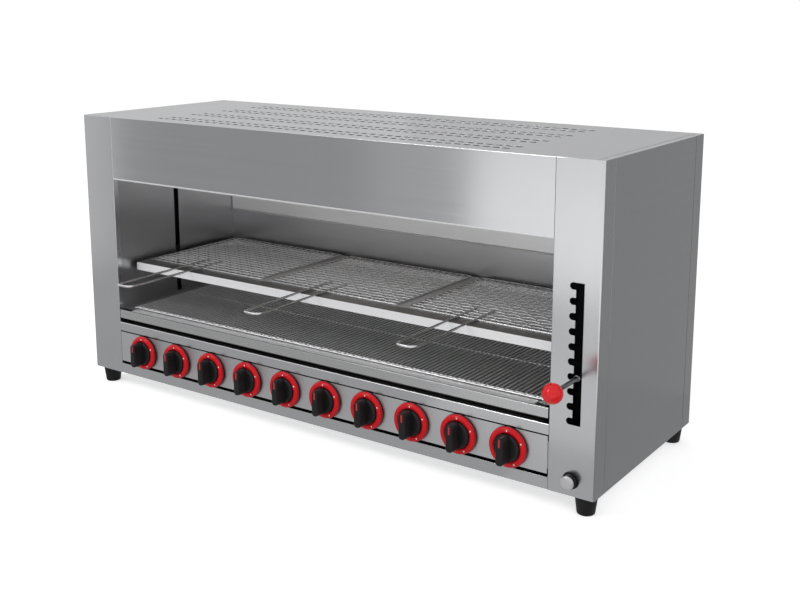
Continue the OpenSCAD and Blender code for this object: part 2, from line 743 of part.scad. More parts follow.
module ball_knob() color(RED) from_front() difference() {
    translate([lever_x, -ball_y, lever_z]) sphere(d = ball_d);
    bar_y(lever_x, lever_z, -ball_y, 0, lever_d);
}

// ---------------------------------------------------------------- rack

module rack_frame() color(STEEL) from_front() {
    rear = rack_front + rack_d;
    low = rack_top - strip_h;
    block([-rack_half, rack_front, low], [rack_half, rack_front + frame_t, rack_top]);
    block([-rack_half, rack_front, rack_top - frame_t], [rack_half, rack_front + front_flange, rack_top]);
    block([-rack_half, rear - frame_t, low], [rack_half, rear, rack_top]);
    block([-rack_half, rear - side_flange, rack_top - frame_t], [rack_half, rear, rack_top]);
    both_sides() {
        block([rack_half - frame_t, rack_front, low], [rack_half, rear, rack_top]);
        block([rack_half - side_flange, rack_front, rack_top - frame_t], [rack_half, rear, rack_top]);
        block([(bay_pitch - crossbar_w) / 2, rack_front, rack_top - frame_t],
            [(bay_pitch + crossbar_w) / 2, rear, rack_top]);
        block([(bay_pitch - frame_t) / 2, rack_front, low + 5],
            [(bay_pitch + frame_t) / 2, rear, rack_top]);
    }
}

module rack_arms() color(DARK_STEEL) from_front() both_sides()
    block([rack_half, guide_y - arm_w / 2, arm_z - arm_h / 2],
        [slider_x, guide_y + arm_w / 2, arm_z + arm_h / 2]);

// A wire rack: a square mesh with a border and a loop handle, on bay 0, 1 or 2
module wire_rack(bay) color(WIRE) from_front()
    translate([(bay - 1) * bay_pitch, 0, rack_top + seat_clear]) {
    mesh_w = bay_pitch - mesh_gap;
    near = rack_front + mesh_setback;
    far = rack_front + rack_d - 4;
    columns = floor((mesh_w - 8) / mesh_cell);
    rows = floor((far - near - 8) / mesh_cell);
    hole = mesh_cell - mesh_bar;
    linear_extrude(mesh_t) difference() {
        translate([-mesh_w / 2, near]) square([mesh_w, far - near]);
        for (c = [0 : columns - 1], r = [0 : rows - 1])
            translate([(c - columns / 2) * mesh_cell + mesh_bar / 2,
                    (near + far) / 2 + (r - rows / 2) * mesh_cell + mesh_bar / 2])
                square(hole);
    }
    translate([handle_shift, 0, handle_wire / 2]) loop_handle(near + 64);
}

// Two wires side by side from the mesh to a rounded end in front
module loop_handle(root_y) {
    end_r = 14;
    end_y = -handle_reach + handle_wire / 2 + end_r;
    for (side = [-1, 1]) {
        bar_y(side * handle_w / 2, 0, end_y, root_y, handle_wire);
        translate([side * (handle_w / 2 - end_r), end_y, 0])
            rotate([0, 0, side > 0 ? -90 : 180]) rotate_extrude(angle = 90)
                translate([end_r, 0]) circle(d = handle_wire);
    }
    bar_x(-handle_w / 2 + end_r, handle_w / 2 - end_r, end_y - end_r, 0, handle_wire);
}

// ---------------------------------------------------------------- drip tray and lower grid

module tray_floor() color(STEEL) from_front()
    block([-tray_half, tray_nose, tray_floor_z], [tray_half, tray_far, tray_floor_z + sheet_t]);

module tray_side_walls() color(STEEL) from_front() both_sides()
    block([tray_half - sheet_t, tray_nose, tray_floor_z + sheet_t],
        [tray_half, tray_far, tray_wall_z]);

module tray_end_walls() color(STEEL) from_front() for (y = [tray_nose, tray_far - sheet_t])
    block([sheet_t - tray_half, y, tray_floor_z + sheet_t],
        [tray_half - sheet_t, y + sheet_t, tray_wall_z]);

// The drip tray's front strip, with its top fold and the flange that joins it to the front wall
module tray_front() color(STEEL) from_front() {
    front_half = cavity_half - tray_end_gap;
    block([-front_half, 0, tray_front_z], [front_half, sheet_t, tray_top]);
    block([-front_half, 0, tray_top - sheet_t], [front_half, 4, tray_top]);
    block([-tray_half, 0, tray_wall_z - sheet_t], [tray_half, tray_nose, tray_wall_z]);
}

// Bars from front to back between a front, a middle and a rear rod
module lower_grid() color(WIRE) from_front() translate([0, 0, grid_z]) linear_extrude(grid_t) difference() {
    translate([-grid_half, grid_front]) square([2 * grid_half, grid_d]);
    count = floor((2 * grid_half - 2 * grid_bar) / grid_pitch);
    bay = (grid_d - 3 * grid_t) / 2;
    for (i = [0 : count - 1], k = [0, 1])
        translate([(i - count / 2) * grid_pitch + grid_bar / 2, grid_front + grid_t + k * (bay + grid_t)])
            square([grid_pitch - grid_bar, bay]);
}

base_pan();
left_post();
right_post();
left_side_panel();
right_side_panel();
back_panel();
top_panel();
hood_fascia();
left_inner_wall();
right_inner_wall();
cavity_back_wall();
back_wall_deflector();
burner_frame();
tray_shelf();
control_panel();
inner_brackets();
feet();
casing_fixings();
burner_bodies();
ceramic_tiles();
burner_supply_tubes();
gas_manifold();
gas_valves();
gas_supply_pipe();
gas_inlet();
cross_light_tube();
pilot_feed_tube();
igniter_body();
ignition_electrode();
ignition_lead();
knob_bezels();
guide_rods();
grid_ledges();
for (i = [1 : burner_count]) knob(i);
igniter_button();
igniter_cap();
rack_frame();
rack_arms();
left_slider();
right_slider();
lever_pin();
lever_rod();
ball_knob();
wire_rack(0);  // left_wire_rack
wire_rack(1);  // middle_wire_rack
wire_rack(2);  // right_wire_rack
tray_floor();
tray_side_walls();
tray_end_walls();
tray_front();
lower_grid();
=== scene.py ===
# %% [markdown]
# # A gas cheese melter
# A wide, open-fronted stainless grill: ten gas burners in the hood, a rack of three wire racks that a
# ball-ended lever raises and lowers, a lower grid over a drip tray, and ten knobs along the front. The
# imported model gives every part's size and place. This script dresses those parts: it rounds the folded
# sheet, bends the wires, turns the knobs and gives every surface its finish.

# %% Load the frame
import json
import math
import bmesh
import bpy
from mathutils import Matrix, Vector


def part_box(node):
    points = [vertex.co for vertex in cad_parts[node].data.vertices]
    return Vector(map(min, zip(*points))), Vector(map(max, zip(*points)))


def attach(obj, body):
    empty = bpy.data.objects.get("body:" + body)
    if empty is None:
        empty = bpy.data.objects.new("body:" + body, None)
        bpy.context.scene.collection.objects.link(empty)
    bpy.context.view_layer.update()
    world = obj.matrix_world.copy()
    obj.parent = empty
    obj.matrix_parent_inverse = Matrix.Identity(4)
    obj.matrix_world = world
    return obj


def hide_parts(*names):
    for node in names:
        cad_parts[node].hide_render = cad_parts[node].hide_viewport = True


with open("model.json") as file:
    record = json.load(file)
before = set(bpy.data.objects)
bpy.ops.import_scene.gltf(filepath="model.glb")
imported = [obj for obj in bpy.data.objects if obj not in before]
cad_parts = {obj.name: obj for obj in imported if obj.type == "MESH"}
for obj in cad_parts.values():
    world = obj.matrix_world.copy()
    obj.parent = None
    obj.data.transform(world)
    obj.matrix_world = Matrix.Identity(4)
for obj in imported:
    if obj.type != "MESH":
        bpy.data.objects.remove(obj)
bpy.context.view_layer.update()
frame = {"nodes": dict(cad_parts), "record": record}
record = frame["record"]
MM = 0.001
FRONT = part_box("control_panel")[0].y
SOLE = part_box("base_pan")[0].z
BODY_OF = {node: body for body, nodes in record["behaviour"]["bodies"].items() for node in nodes}
SLOT_OF = {part["node"]: part["material_slot"] for part in record["subparts"]}
SLOTS = {material["slot"] for material in record["materials"]}


def at(x, y, z):
    """A place in metres, from mm: x from the middle, y behind the front, z above the casing's underside."""
    return Vector((x * MM, FRONT + y * MM, SOLE + z * MM))


def span(node):
    """A part's lowest and highest corner at rest, in the mm that at() takes, to a hundredth."""
    return [tuple(round(v / MM, 2) for v in corner - at(0, 0, 0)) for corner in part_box(node)]


# %% [markdown]
# ## The camera
# The camera stands to the right of the melter and a little above it, where a buyer would stand. A small
# shift of the lens keeps the upright edges close to upright, and it stays small, because every other
# view keeps it too.

# %% Camera
FRAME_WIDE, FOCAL = 800, 1114.7254  # in pixels
SENSOR = 36  # in mm
LOOK_DOWN, LOOK_LEFT = 0.193, 0.6095  # in radians
cam = bpy.data.cameras.new("camera")
camera = bpy.data.objects.new("camera", cam)
bpy.context.scene.collection.objects.link(camera)
cam.sensor_width = SENSOR
cam.lens = FOCAL / FRAME_WIDE * SENSOR
cam.shift_y = -0.1
camera.location = (1.32448, -1.74099, 0.84542)
camera.rotation_euler = (math.radians(90) - LOOK_DOWN, 0, LOOK_LEFT)
bpy.context.scene.camera = camera
print("lens", round(cam.lens, 2), "mm")

# %% [markdown]
# ## The studio
# Steel shows what stands round it more than its own colour. So the studio is a white room with a pale
# floor, two large soft lamps, and grey cards that only reflections see. The cards give the sheet its
# darker and lighter stretches. Rays that light the object find a plainer, dimmer room than the eye
# sees, so colours come out as written.

# %% Wrapper for sockets


class Shade:
    """One output of a material's nodes. Sums, products and 1 - it add Math nodes."""

    def __init__(self, tree, socket=None):
        self.tree, self.socket = tree, socket

    def node(self, kind, settings=(), inputs=(), out=0):
        """Adds a node: its settings first, then values or links into its inputs. Returns one output."""
        made = self.tree.nodes.new(kind)
        for name, value in dict(settings).items():
            setattr(made, name, value)
        for name, value in dict(inputs).items():
            if isinstance(value, Shade):
                self.tree.links.new(value.socket, made.inputs[name])
            else:
                made.inputs[name].default_value = value
        return Shade(self.tree, made.outputs[out] if made.outputs else None)

    def math(self, operation, *values):
        return self.node("ShaderNodeMath", {"operation": operation}, dict(enumerate(values)))

    def __add__(self, other):
        return self.math("ADD", self, other)

    def __rsub__(self, other):
        return self.math("SUBTRACT", other, self)

    def __mul__(self, other):
        return self.math("MULTIPLY", self, other)

    __radd__, __rmul__ = __add__, __mul__


def start(tree):
    """Clears a node tree and returns a Shade that adds nodes to it."""
    tree.nodes.clear()
    return Shade(tree)


# %% World
ROOM_LIGHT = 0.62


def seen(shade):
    """1 for rays from the eye, from gloss or through glass, 0 for rays that light the object."""
    paths = shade.tree.nodes.new("ShaderNodeLightPath")
    eye, gloss, glass = (Shade(shade.tree, paths.outputs[name]) for name in
                         ("Is Camera Ray", "Is Glossy Ray", "Is Transmission Ray"))
    return shade.math("MINIMUM", eye + gloss + glass, 1.0)


world = bpy.data.worlds.new("white room")
bpy.context.scene.world = world
world.use_nodes = True
sky = start(world.node_tree)
sky_level = seen(sky) * (1 - ROOM_LIGHT) + ROOM_LIGHT
sky_out = sky.node("ShaderNodeBackground", (), {"Color": (1, 1, 1, 1), "Strength": sky_level})
sky.node("ShaderNodeOutputWorld", (), {"Surface": sky_out})
bpy.context.scene.view_settings.view_transform = "Standard"
print("room light on the melter:", ROOM_LIGHT)

# %% Floor
FLOOR_RADIUS, FLOOR_GREY, FLOOR_GLOW = 40, 0.82, 0.5


def stage_material(name, grey, glow, everywhere=False):
    """A plain surface of the studio. Its glow is only for the eye and for reflections, or for all rays."""
    mat = bpy.data.materials.new(name)
    mat.use_nodes = True
    s = start(mat.node_tree)
    strength = glow if everywhere else seen(s) * glow
    body = s.node("ShaderNodeBsdfDiffuse", (), {"Color": (grey, grey, grey, 1)})
    shine = s.node("ShaderNodeEmission", (), {"Strength": strength})
    both = s.node("ShaderNodeAddShader", (), {0: body, 1: shine})
    s.node("ShaderNodeOutputMaterial", (), {"Surface": both})
    return mat


bpy.ops.object.select_all(action="DESELECT")
bpy.ops.mesh.primitive_circle_add(vertices=96, radius=FLOOR_RADIUS, fill_type="NGON", location=(0, 0, 0))
floor = bpy.context.object
floor.name = "floor"
floor.data.materials.append(stage_material("pale floor", FLOOR_GREY, FLOOR_GLOW))
print("floor:", 2 * FLOOR_RADIUS, "m across")

# %% Lamps
AIM = Vector((0, 0, 0.3))


def lamp(name, place, size, power, shows=False):
    """A square soft lamp, aimed at the melter. Steel mirrors it where shows is set."""
    data = bpy.data.lights.new(name, "AREA")
    data.shape, data.size, data.energy = "SQUARE", size, power
    made = bpy.data.objects.new(name, data)
    bpy.context.scene.collection.objects.link(made)
    made.location = place
    made.rotation_euler = (AIM - Vector(place)).to_track_quat("-Z", "Y").to_euler()
    made.visible_glossy = shows


lamp("key lamp", (-1.6, -2.6, 2.6), 1.2, 45, shows=True)
lamp("fill lamp", (2.6, -1.6, 2.2), 1.8, 22)
print("lamps: 2")

# %% Grey cards
CARD_HIGH, OFF_FLOOR = 1.6, 0.001
UPRIGHT_CARDS = (  # name, its two ends on the floor, grey
    ("front card, near", (-0.31, -1.28), (-0.62, -1.21), 0.55),
    ("front card, far", (-0.62, -1.21), (-1.40, -0.9036), 0.42),
    ("front card, left", (-1.40, -0.9036), (-2.3, -0.55), 0.86),
    ("side card", (0.64, 0.5), (2.0, 0.5), 0.32),
    ("rear card", (-2.6, 0.2), (-0.9, 1.5), 0.68),
    ("rear card, right", (-0.9, 1.5), (0.5, 1.5), 0.60),
)
FLAT_CARDS = (  # name, reach along x, reach along y, grey
    ("side floor card", (0.62, 2.0), (-0.6, 0.5), 0.30),
    ("front floor card, near", (-2.6, 0.40), (-0.42, -0.12), 0.50),
    ("front floor card, left", (-2.6, 0.08), (-1.4, -0.42), 0.52),
    ("front floor card, right", (0.08, 0.62), (-1.4, -0.42), 0.80),
    ("front floor card, corner", (0.40, 0.62), (-0.42, -0.12), 0.58),
)


def card(name, corners, grey):
    """A flat grey card that only reflections see."""
    mesh = bpy.data.meshes.new(name)
    mesh.from_pydata([Vector(c) for c in corners], [], [tuple(range(len(corners)))])
    made = bpy.data.objects.new(name, mesh)
    bpy.context.scene.collection.objects.link(made)
    mesh.materials.append(stage_material(name, 0.0, grey, everywhere=True))
    made.visible_camera = made.visible_diffuse = made.visible_shadow = made.visible_transmission = False


for name, (x0, y0), (x1, y1), grey in UPRIGHT_CARDS:
    card(name, [(x0, y0, 0), (x1, y1, 0), (x1, y1, CARD_HIGH), (x0, y0, CARD_HIGH)], grey)
for name, (x0, x1), (y0, y1), grey in FLAT_CARDS:
    card(name, [(x, y, OFF_FLOOR) for x, y in ((x0, y0), (x1, y0), (x1, y1), (x0, y1))], grey)
print("cards:", len(UPRIGHT_CARDS) + len(FLAT_CARDS))

# %% [markdown]
# ## The finishes
# Stainless sheet is brushed in one direction. The brushing leaves fine streaks, and it draws every
# reflection out across them. So the streaks are a noise squeezed in two directions, which moves colour,
# gloss and height a little, and the drawing out is the shader's own anisotropy. Broad faint clouds
# stand for wiping marks.

# %% Helpers for a finish


def surface(s, colour, rough, height, depth, strength, **constants):
    """The shader that every finish ends in. Numbers that are the same all over go to its own sockets."""
    bump = {"Strength": strength, "Distance": depth * MM, "Height": height}
    inputs = {"Base Color": colour, "Roughness": rough, "Normal": s.node("ShaderNodeBump", (), bump)}
    for name, value in constants.items():
        inputs[name.replace("_", " ")] = value
    shader = s.node("ShaderNodeBsdfPrincipled", (), inputs)
    s.node("ShaderNodeOutputMaterial", (), {"Surface": shader})


def new_finish(name):
    """A material, a Shade that adds nodes to it, and the place on the piece in metres."""
    mat = bpy.data.materials.new(name)
    mat.use_nodes = True
    s = start(mat.node_tree)
    return mat, s, s.node("ShaderNodeTexCoord", (), (), "Object")


def noise(s, place, scale, detail=2.0, rough=0.5):
    """Noise with its own scale along x, y and z, in cycles to the metre."""
    spread = s.node("ShaderNodeMapping", (), {"Vector": place, "Scale": scale})
    inputs = {"Vector": spread, "Scale": 1.0, "Detail": detail, "Roughness": rough}
    return s.node("ShaderNodeTexNoise", (), inputs)


def between(s, factor, low, high):
    """A colour between two others."""
    return s.node("ShaderNodeMix", {"data_type": "RGBA"}, {0: factor, 6: (*low, 1), 7: (*high, 1)}, 2)


def either_side(s, factor, colour, spread):
    """A colour that goes a little darker and lighter than the one given."""
    dark, light = (tuple(c * by for c in colour) for by in (1 - spread, 1 + spread))
    return between(s, factor, dark, light)


# %% Brushed steel
ALONG_X, UPRIGHT, LENGTHWISE = (3, 900, 900), (900, 900, 3), (3, 3, 900)
BAND_WIDTH = 12  # in streaks
STREAK_GLOSS = 0.12
STEEL = (0.55, 0.555, 0.57)


def brushed(name, colour, rough, grain, spread=0.06, stretch=0.7, turn=0.25, clouds=0.06, metal=1.0):
    """Steel brushed along the axes in which grain is small. spread is how far the streaks go from the
    colour, and clouds how far wiping marks go from the gloss. stretch and turn draw out reflections."""
    mat, s, place = new_finish(name)
    streaks = noise(s, place, grain, 3.0, 0.7)
    bands = noise(s, place, tuple(g / BAND_WIDTH for g in grain), 2.0)
    wiped = noise(s, place, (7, 7, 7), 3.0)
    shade = streaks * 0.6 + bands * 0.4
    gloss = shade * STREAK_GLOSS + wiped * clouds + (rough - STREAK_GLOSS / 2 - clouds / 2)
    surface(s, either_side(s, shade, colour, spread), gloss, streaks, depth=0.02, strength=0.12,
            Metallic=metal, Anisotropic=stretch, Anisotropic_Rotation=turn)
    return mat


FINISH = {
    "stainless_sheet": brushed("brushed stainless", STEEL, 0.19, LENGTHWISE, stretch=0.45),
    "post": brushed("brushed stainless, upright", STEEL, 0.24, UPRIGHT, stretch=0.5, turn=0.0),
    "top": brushed("brushed stainless, top", STEEL, 0.24, ALONG_X, stretch=0.0),
    "panel": brushed("brushed stainless, satin", STEEL, 0.42, LENGTHWISE, stretch=0.3),
    # Painted highlight: a paler, glossier copy of the sheet for the faces of a fold.
    "polished_fold": brushed("fold, painted highlight", (0.86, 0.865, 0.88), 0.22, ALONG_X, stretch=0.0),
    # Painted light: a paler, partly matt copy of the liner steel, for the back wall's deflector and the drip
    # tray's flange, which lie in shade.
    "bright_liner": brushed("liner steel, painted light", (0.92, 0.92, 0.93), 0.34, LENGTHWISE, spread=0.05,
                            stretch=0.4, turn=0.0, clouds=0.2, metal=0.6),
    "liner_sheet": brushed("liner steel", (0.46, 0.46, 0.47), 0.34, LENGTHWISE, spread=0.08,
                           stretch=0.4, turn=0.0, clouds=0.2),
    "flue_steel": brushed("steel darkened by flue heat", (0.05, 0.048, 0.047), 0.5, LENGTHWISE,
                          spread=0.2, stretch=0.0, clouds=0.1),
    "tray_steel": brushed("tray steel", (0.52, 0.525, 0.53), 0.28, LENGTHWISE),
    # A darker copy of tray steel. On the rack's front flange it is painted shade; on the drip tray's pan it
    # makes the pan darker than the tray's front.
    "pan_steel": brushed("tray steel, darkened", (0.30, 0.295, 0.29), 0.4, LENGTHWISE, spread=0.15,
                         clouds=0.16),
    "rack_steel": brushed("rack steel", (0.62, 0.625, 0.635), 0.25, ALONG_X, stretch=0.0),
    # Painted sheen: a paler, partly matt copy of the steel for the rack's two crossbars.
    "worn_satin": brushed("satin steel, painted sheen", (0.66, 0.66, 0.67), 0.42, ALONG_X, stretch=0.0, metal=0.7),
    # Painted highlight: pale, mostly matt steel for the hood's lower fold, the rack's front face and the hem
    # behind the racks.
    "pale_satin": brushed("satin steel, painted highlight", (0.80, 0.80, 0.81), 0.42, ALONG_X, stretch=0.0, metal=0.35),
}
print("brushed finishes:", len(FINISH))

# %% [markdown]
# Plated wire and turned bar are smoother and more even than sheet. Cast iron and unglazed ceramic are
# rough in the small, plastic has a fine moulded grit with a soft gloss, and rubber is nearly black and
# dull. Each gets a noise at its own scale, so that close up none of them is one flat colour.

# %% Plated, cast and moulded finishes
GRIT_GLOSS = 0.14
BLACK = (0.010, 0.010, 0.011)


def plain(name, colour, rough, metal=0.0, size=400, spread=0.08, depth=0.03, strength=0.3, **constants):
    """A finish without a direction: grains of the given count to the metre, over broad faint clouds."""
    mat, s, place = new_finish(name)
    grit = noise(s, place, (size, size, size), 3.0)
    broad = noise(s, place, (18, 18, 18), 2.0)
    shade = grit * 0.5 + broad * 0.5
    surface(s, either_side(s, shade, colour, spread), shade * GRIT_GLOSS + (rough - GRIT_GLOSS / 2),
            grit, depth, strength, Metallic=metal, **constants)
    return mat


def plastic(name, colour, rough, size=1200, sheen=0.2, **grain):
    return plain(name, colour, rough, size=size, Specular_IOR_Level=sheen, **grain)


FINISH.update({
    "chrome_wire": plain("plated wire", (0.66, 0.66, 0.67), 0.26, 1.0),
    # Painted sheen: the racks' mesh is a paler, partly matt copy of the plated wire.
    "mesh_wire": plain("plated mesh, painted sheen", (0.95, 0.95, 0.96), 0.30, 0.4, spread=0.04),
    # Painted sheen: the lower grid's wire is paler and partly matt, so that it catches more light.
    "grid_wire": plain("plated wire, painted sheen", (0.88, 0.88, 0.89), 0.36, 0.8),
    "chrome_bar": plain("turned bar", (0.17, 0.17, 0.175), 0.20, 1.0),
    # Painted shade: near-black for the insides of the vent scoops.
    "soot": plain("soot", (0.012, 0.012, 0.012), 0.9, spread=0.3, Specular_IOR_Level=0.0),
    "zinc_fixings": plain("zinc plating", (0.50, 0.50, 0.49), 0.34, 1.0, size=900),
    "pipe_steel": plain("dark satin paint", (0.05, 0.05, 0.053), 0.45, spread=0.15),
    "burner_casting": plain("cast iron", (0.045, 0.043, 0.042), 0.72, 0.4, size=500, spread=0.3, depth=0.3,
                            strength=0.6),
    "gas_brass": plain("machined brass", (0.60, 0.43, 0.17), 0.30, 1.0, size=700),
    "foot_rubber": plastic("foot rubber", BLACK, 0.6, size=900, spread=0.2, depth=0.05),
    "lead_rubber": plain("lead insulation", (0.30, 0.03, 0.02), 0.48, size=900),
    "knob_plastic": plastic("knob plastic", BLACK, 0.38, size=1500, sheen=0.22, spread=0.2, depth=0.02),
    "black_plastic": plastic("black plastic", (0.008, 0.008, 0.009), 0.36, size=1500, spread=0.2,
                             depth=0.02),
    "red_plastic": plastic("red plastic", (0.56, 0.008, 0.014), 0.24, depth=0.01),
    "ball_plastic": plastic("ball plastic", (0.68, 0.008, 0.012), 0.14, sheen=0.35, depth=0.01),
    "button_cap": plain("button cap", (0.50, 0.50, 0.51), 0.34, 0.4, size=900),
    "white_mark": plain("white paint", (0.78, 0.78, 0.76), 0.45, size=900, spread=0.04),
    "red_mark": plain("red paint", (0.50, 0.015, 0.02), 0.42, size=900),
})

# %% Pierced ceramic
HOLES_PER_METRE, HOLE_SHARE = 300.0, 0.24


def pierced_ceramic():
    """Unglazed tile with rows of small flame holes, drawn as dark round spots on a close grid: painted shade
    in the holes.
    """
    mat, s, place = new_finish("pierced ceramic")
    grid = {"Vector": place, "Scale": HOLES_PER_METRE, "Randomness": 0.0}
    spots = s.node("ShaderNodeTexVoronoi", {"voronoi_dimensions": "2D"}, grid, "Distance")
    hole = s.math("LESS_THAN", spots, HOLE_SHARE)
    cloud = noise(s, place, (30, 30, 30), 3.0)
    body = between(s, cloud, (0.62, 0.54, 0.42), (0.80, 0.74, 0.64))
    # The holes are painted near-black: painted shade.
    hole_shade = {0: hole, 6: body, 7: (0.03, 0.025, 0.02, 1)}
    colour = s.node("ShaderNodeMix", {"data_type": "RGBA"}, hole_shade, 2)
    surface(s, colour, 0.85, 1 - hole, depth=0.4, strength=0.8)
    return mat


FINISH["burner_ceramic"] = pierced_ceramic()
print("finishes:", len(FINISH))

# %% [markdown]
# ## Working in edit mode
# The pieces are made as by hand: a primitive is put down at its size, then faces and edges are picked
# by their place and extruded, inset, bevelled or spun. A few helpers pick by place, round a folded
# sheet, turn an outline round an axis and bend a wire, and one helper finishes every piece in the same
# way.

# %% Helpers for shaping
TOUCH = 0.15  # how near, in mm, a point is to the place that a test asks for


def only(*things):
    """Selects these objects and nothing else."""
    bpy.ops.object.select_all(action="DESELECT")
    for thing in things:
        thing.select_set(True)
    bpy.context.view_layer.objects.active = things[0]


def edit(piece, kind="EDGE"):
    """Goes into edit mode on one piece, with all of it selected."""
    only(piece)
    bpy.ops.object.mode_set(mode="EDIT")
    bpy.ops.mesh.select_mode(type=kind)
    bpy.ops.mesh.select_all(action="SELECT")


def leave():
    bpy.ops.object.mode_set(mode="OBJECT")


def pick(piece, kind, test):
    """In edit mode, selects the verts, edges or faces that pass the test. Returns how many do."""
    bpy.ops.mesh.select_all(action="DESELECT")
    bpy.ops.mesh.select_mode(type={"verts": "VERT", "edges": "EDGE", "faces": "FACE"}[kind])
    live = bmesh.from_edit_mesh(piece.data)
    chosen = [item for item in getattr(live, kind) if test(item)]
    for item in chosen:
        item.select_set(True)
    live.select_flush_mode()
    bmesh.update_edit_mesh(piece.data)
    return len(chosen)


def along(axis, place):
    """The point at a place in mm along one axis, and at 0 along the others."""
    return at(*(place if i == axis else 0 for i in range(3)))


def near_to(axis, *places):
    """A test for points whose place along an axis is one of these, in mm."""
    wanted = [along(axis, place)[axis] for place in places]
    return lambda vert: any(abs(vert.co[axis] - want) < TOUCH * MM for want in wanted)


def on(x=None, y=None, z=None):
    """A test for edges that lie on a line or plane given in mm, on a piece whose object is at the origin."""
    wanted = [(i, along(i, v)[i]) for i, v in enumerate((x, y, z)) if v is not None]
    return lambda edge: all(abs(vert.co[i] - want) < TOUCH * MM for vert in edge.verts for i, want in wanted)


def box(low, high):
    """A box between two corners given in mm."""
    a, b = at(*low), at(*high)
    bpy.ops.mesh.primitive_cube_add(size=1, location=(a + b) / 2, scale=b - a)
    bpy.ops.object.transform_apply(location=True, rotation=False, scale=True)
    return bpy.context.object


def modify(piece, kind, **settings):
    """Adds a modifier, sets it and applies it."""
    made = piece.modifiers.new(kind.title(), kind)
    for name, value in settings.items():
        setattr(made, name, value)
    only(piece)
    bpy.ops.object.modifier_apply(modifier=made.name)


def soften(piece, width, angle=50):
    """A small bevel on every edge that is sharper than the angle."""
    modify(piece, "BEVEL", width=width * MM, segments=2, limit_method="ANGLE",
           angle_limit=math.radians(angle))


def join(pieces):
    only(*pieces)
    bpy.ops.object.join()
    return bpy.context.object


def finish(piece, name, body, skin, slot=None, nodes=(), smooth=40, more=()):
    """Names a piece, settles its place into its mesh, gives it its finish and its body, and hides the nodes
    it stands for. Faces that were marked on the way, such as folds with a painted highlight, keep one of the
    further finishes."""
    only(piece)
    bpy.ops.object.transform_apply(location=True, rotation=True, scale=True)
    if smooth:
        bpy.ops.object.shade_smooth_by_angle(angle=math.radians(smooth))
    piece.name = piece.data.name = name
    marks = [face.material_index if more else 0 for face in piece.data.polygons]
    piece.data.materials.clear()
    for each in [skin, *more]:
        piece.data.materials.append(FINISH[each])
    piece.data.polygons.foreach_set("material_index", marks)
    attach(piece, body)
    slot or skin in SLOTS
    if nodes:
        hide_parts(*nodes)
    return piece


# %% [markdown]
# ## Folded sheet
# Most of the casing is thin sheet, cut and folded. The model's solids have knife-sharp folds, and real
# ones are round by about twice the sheet's thickness. So each sheet part is a merged copy of its solid:
# the long folds are bevelled in edit mode, a small bevel takes the sharpness off every cut edge, and
# face-weighted normals keep the broad faces flat in their reflections.

# %% Helper for folded sheet


def folded(node, folds=(), cut=0.35, skin=None, moves=(), slices=(), marks=()):
    """A clean copy of a sheet node, with its sharp edges taken off by cut, in mm.

    folds: (test, radius in mm) for edges that are bent round, and a finish that paints a highlight on the
    fold.
    moves: (test, shift in mm) for points that are moved first, to open a seam or widen a slot.
    slices: (axis, place in mm) where faces are cut in two.
    marks: (test, finish) for faces with a finish of their own."""
    piece = bpy.data.objects.new(node, frame["nodes"][node].data.copy())
    bpy.context.scene.collection.objects.link(piece)
    piece.data.materials.clear()
    skins = [skin or SLOT_OF[node]]
    piece.data.materials.append(FINISH[skins[0]])

    def mark(name):
        """In edit mode, gives the selected faces a finish."""
        if name not in skins:
            skins.append(name)
            piece.data.materials.append(FINISH[name])
        piece.active_material_index = skins.index(name)
        bpy.ops.object.material_slot_assign()

    edit(piece)
    bpy.ops.mesh.remove_doubles(threshold=1e-6)
    bpy.ops.mesh.dissolve_limited(angle_limit=math.radians(0.5))
    for test, shift in moves:
        if pick(piece, "verts", test):
            bpy.ops.transform.translate(value=Vector(shift) * MM)
    for axis, place in slices:
        bpy.ops.mesh.select_all(action="SELECT")
        way = Vector([1.0 if i == axis else 0.0 for i in range(3)])
        bpy.ops.mesh.bisect(plane_co=along(axis, place), plane_no=way)
    for test, radius, *bright in folds:
        if pick(piece, "edges", test):
            bpy.ops.mesh.bevel(offset=radius * MM, segments=4, affect="EDGES")
            # the fold's own finish paints a highlight on it
            if bright:
                mark(bright[0])
    for test, name in marks:
        if pick(piece, "faces", test):
            mark(name)
    leave()
    soften(piece, cut, angle=40)
    only(piece)
    bpy.ops.object.shade_smooth_by_angle(angle=math.radians(60))
    modify(piece, "WEIGHTED_NORMAL", weight=100, keep_sharp=True)
    return finish(piece, node + "_sheet", BODY_OF[node], skins[0], SLOT_OF[node], [node],
                  smooth=None, more=skins[1:])


# %% Sheets of the casing
(HALF, DEEP, HIGH), POST_DEEP = span("back_panel")[1], span("left_post")[1][1]
OPEN, HOOD_Z = span("hood_fascia")[1][0], span("hood_fascia")[0][2]
PANEL_LOW, PANEL_HIGH = (corner[2] for corner in span("control_panel"))
SHELF_TOP = span("tray_shelf")[1][2]
FOLD, POST_FOLD, INNER_FOLD, BACK_FOLD, HOOD_FOLD = 1.6, 2.4, 1.2, 2.0, 4.2
SEAM, PANEL_GAP = 0.9, 1.2  # how much wider a joint is here than in the model


def shelf_top(face):
    return face.normal.z > 0.9 and face.calc_center_median().z > at(0, 0, SHELF_TOP - 1).z


for side, name in ((-1, "left"), (1, "right")):
    folded(name + "_post", cut=0.2, skin="post", folds=[
        (on(x=side * HALF, y=0), POST_FOLD), (on(x=side * OPEN, y=0), INNER_FOLD), (on(y=0, z=HIGH), FOLD)])
    folded(name + "_side_panel", [(on(x=side * HALF, z=HIGH), FOLD)], cut=0.2, moves=[
        (near_to(1, POST_DEEP), (0, SEAM, 0)), (near_to(1, DEEP - POST_DEEP), (0, -SEAM, 0))])
    folded(name + "_inner_wall")
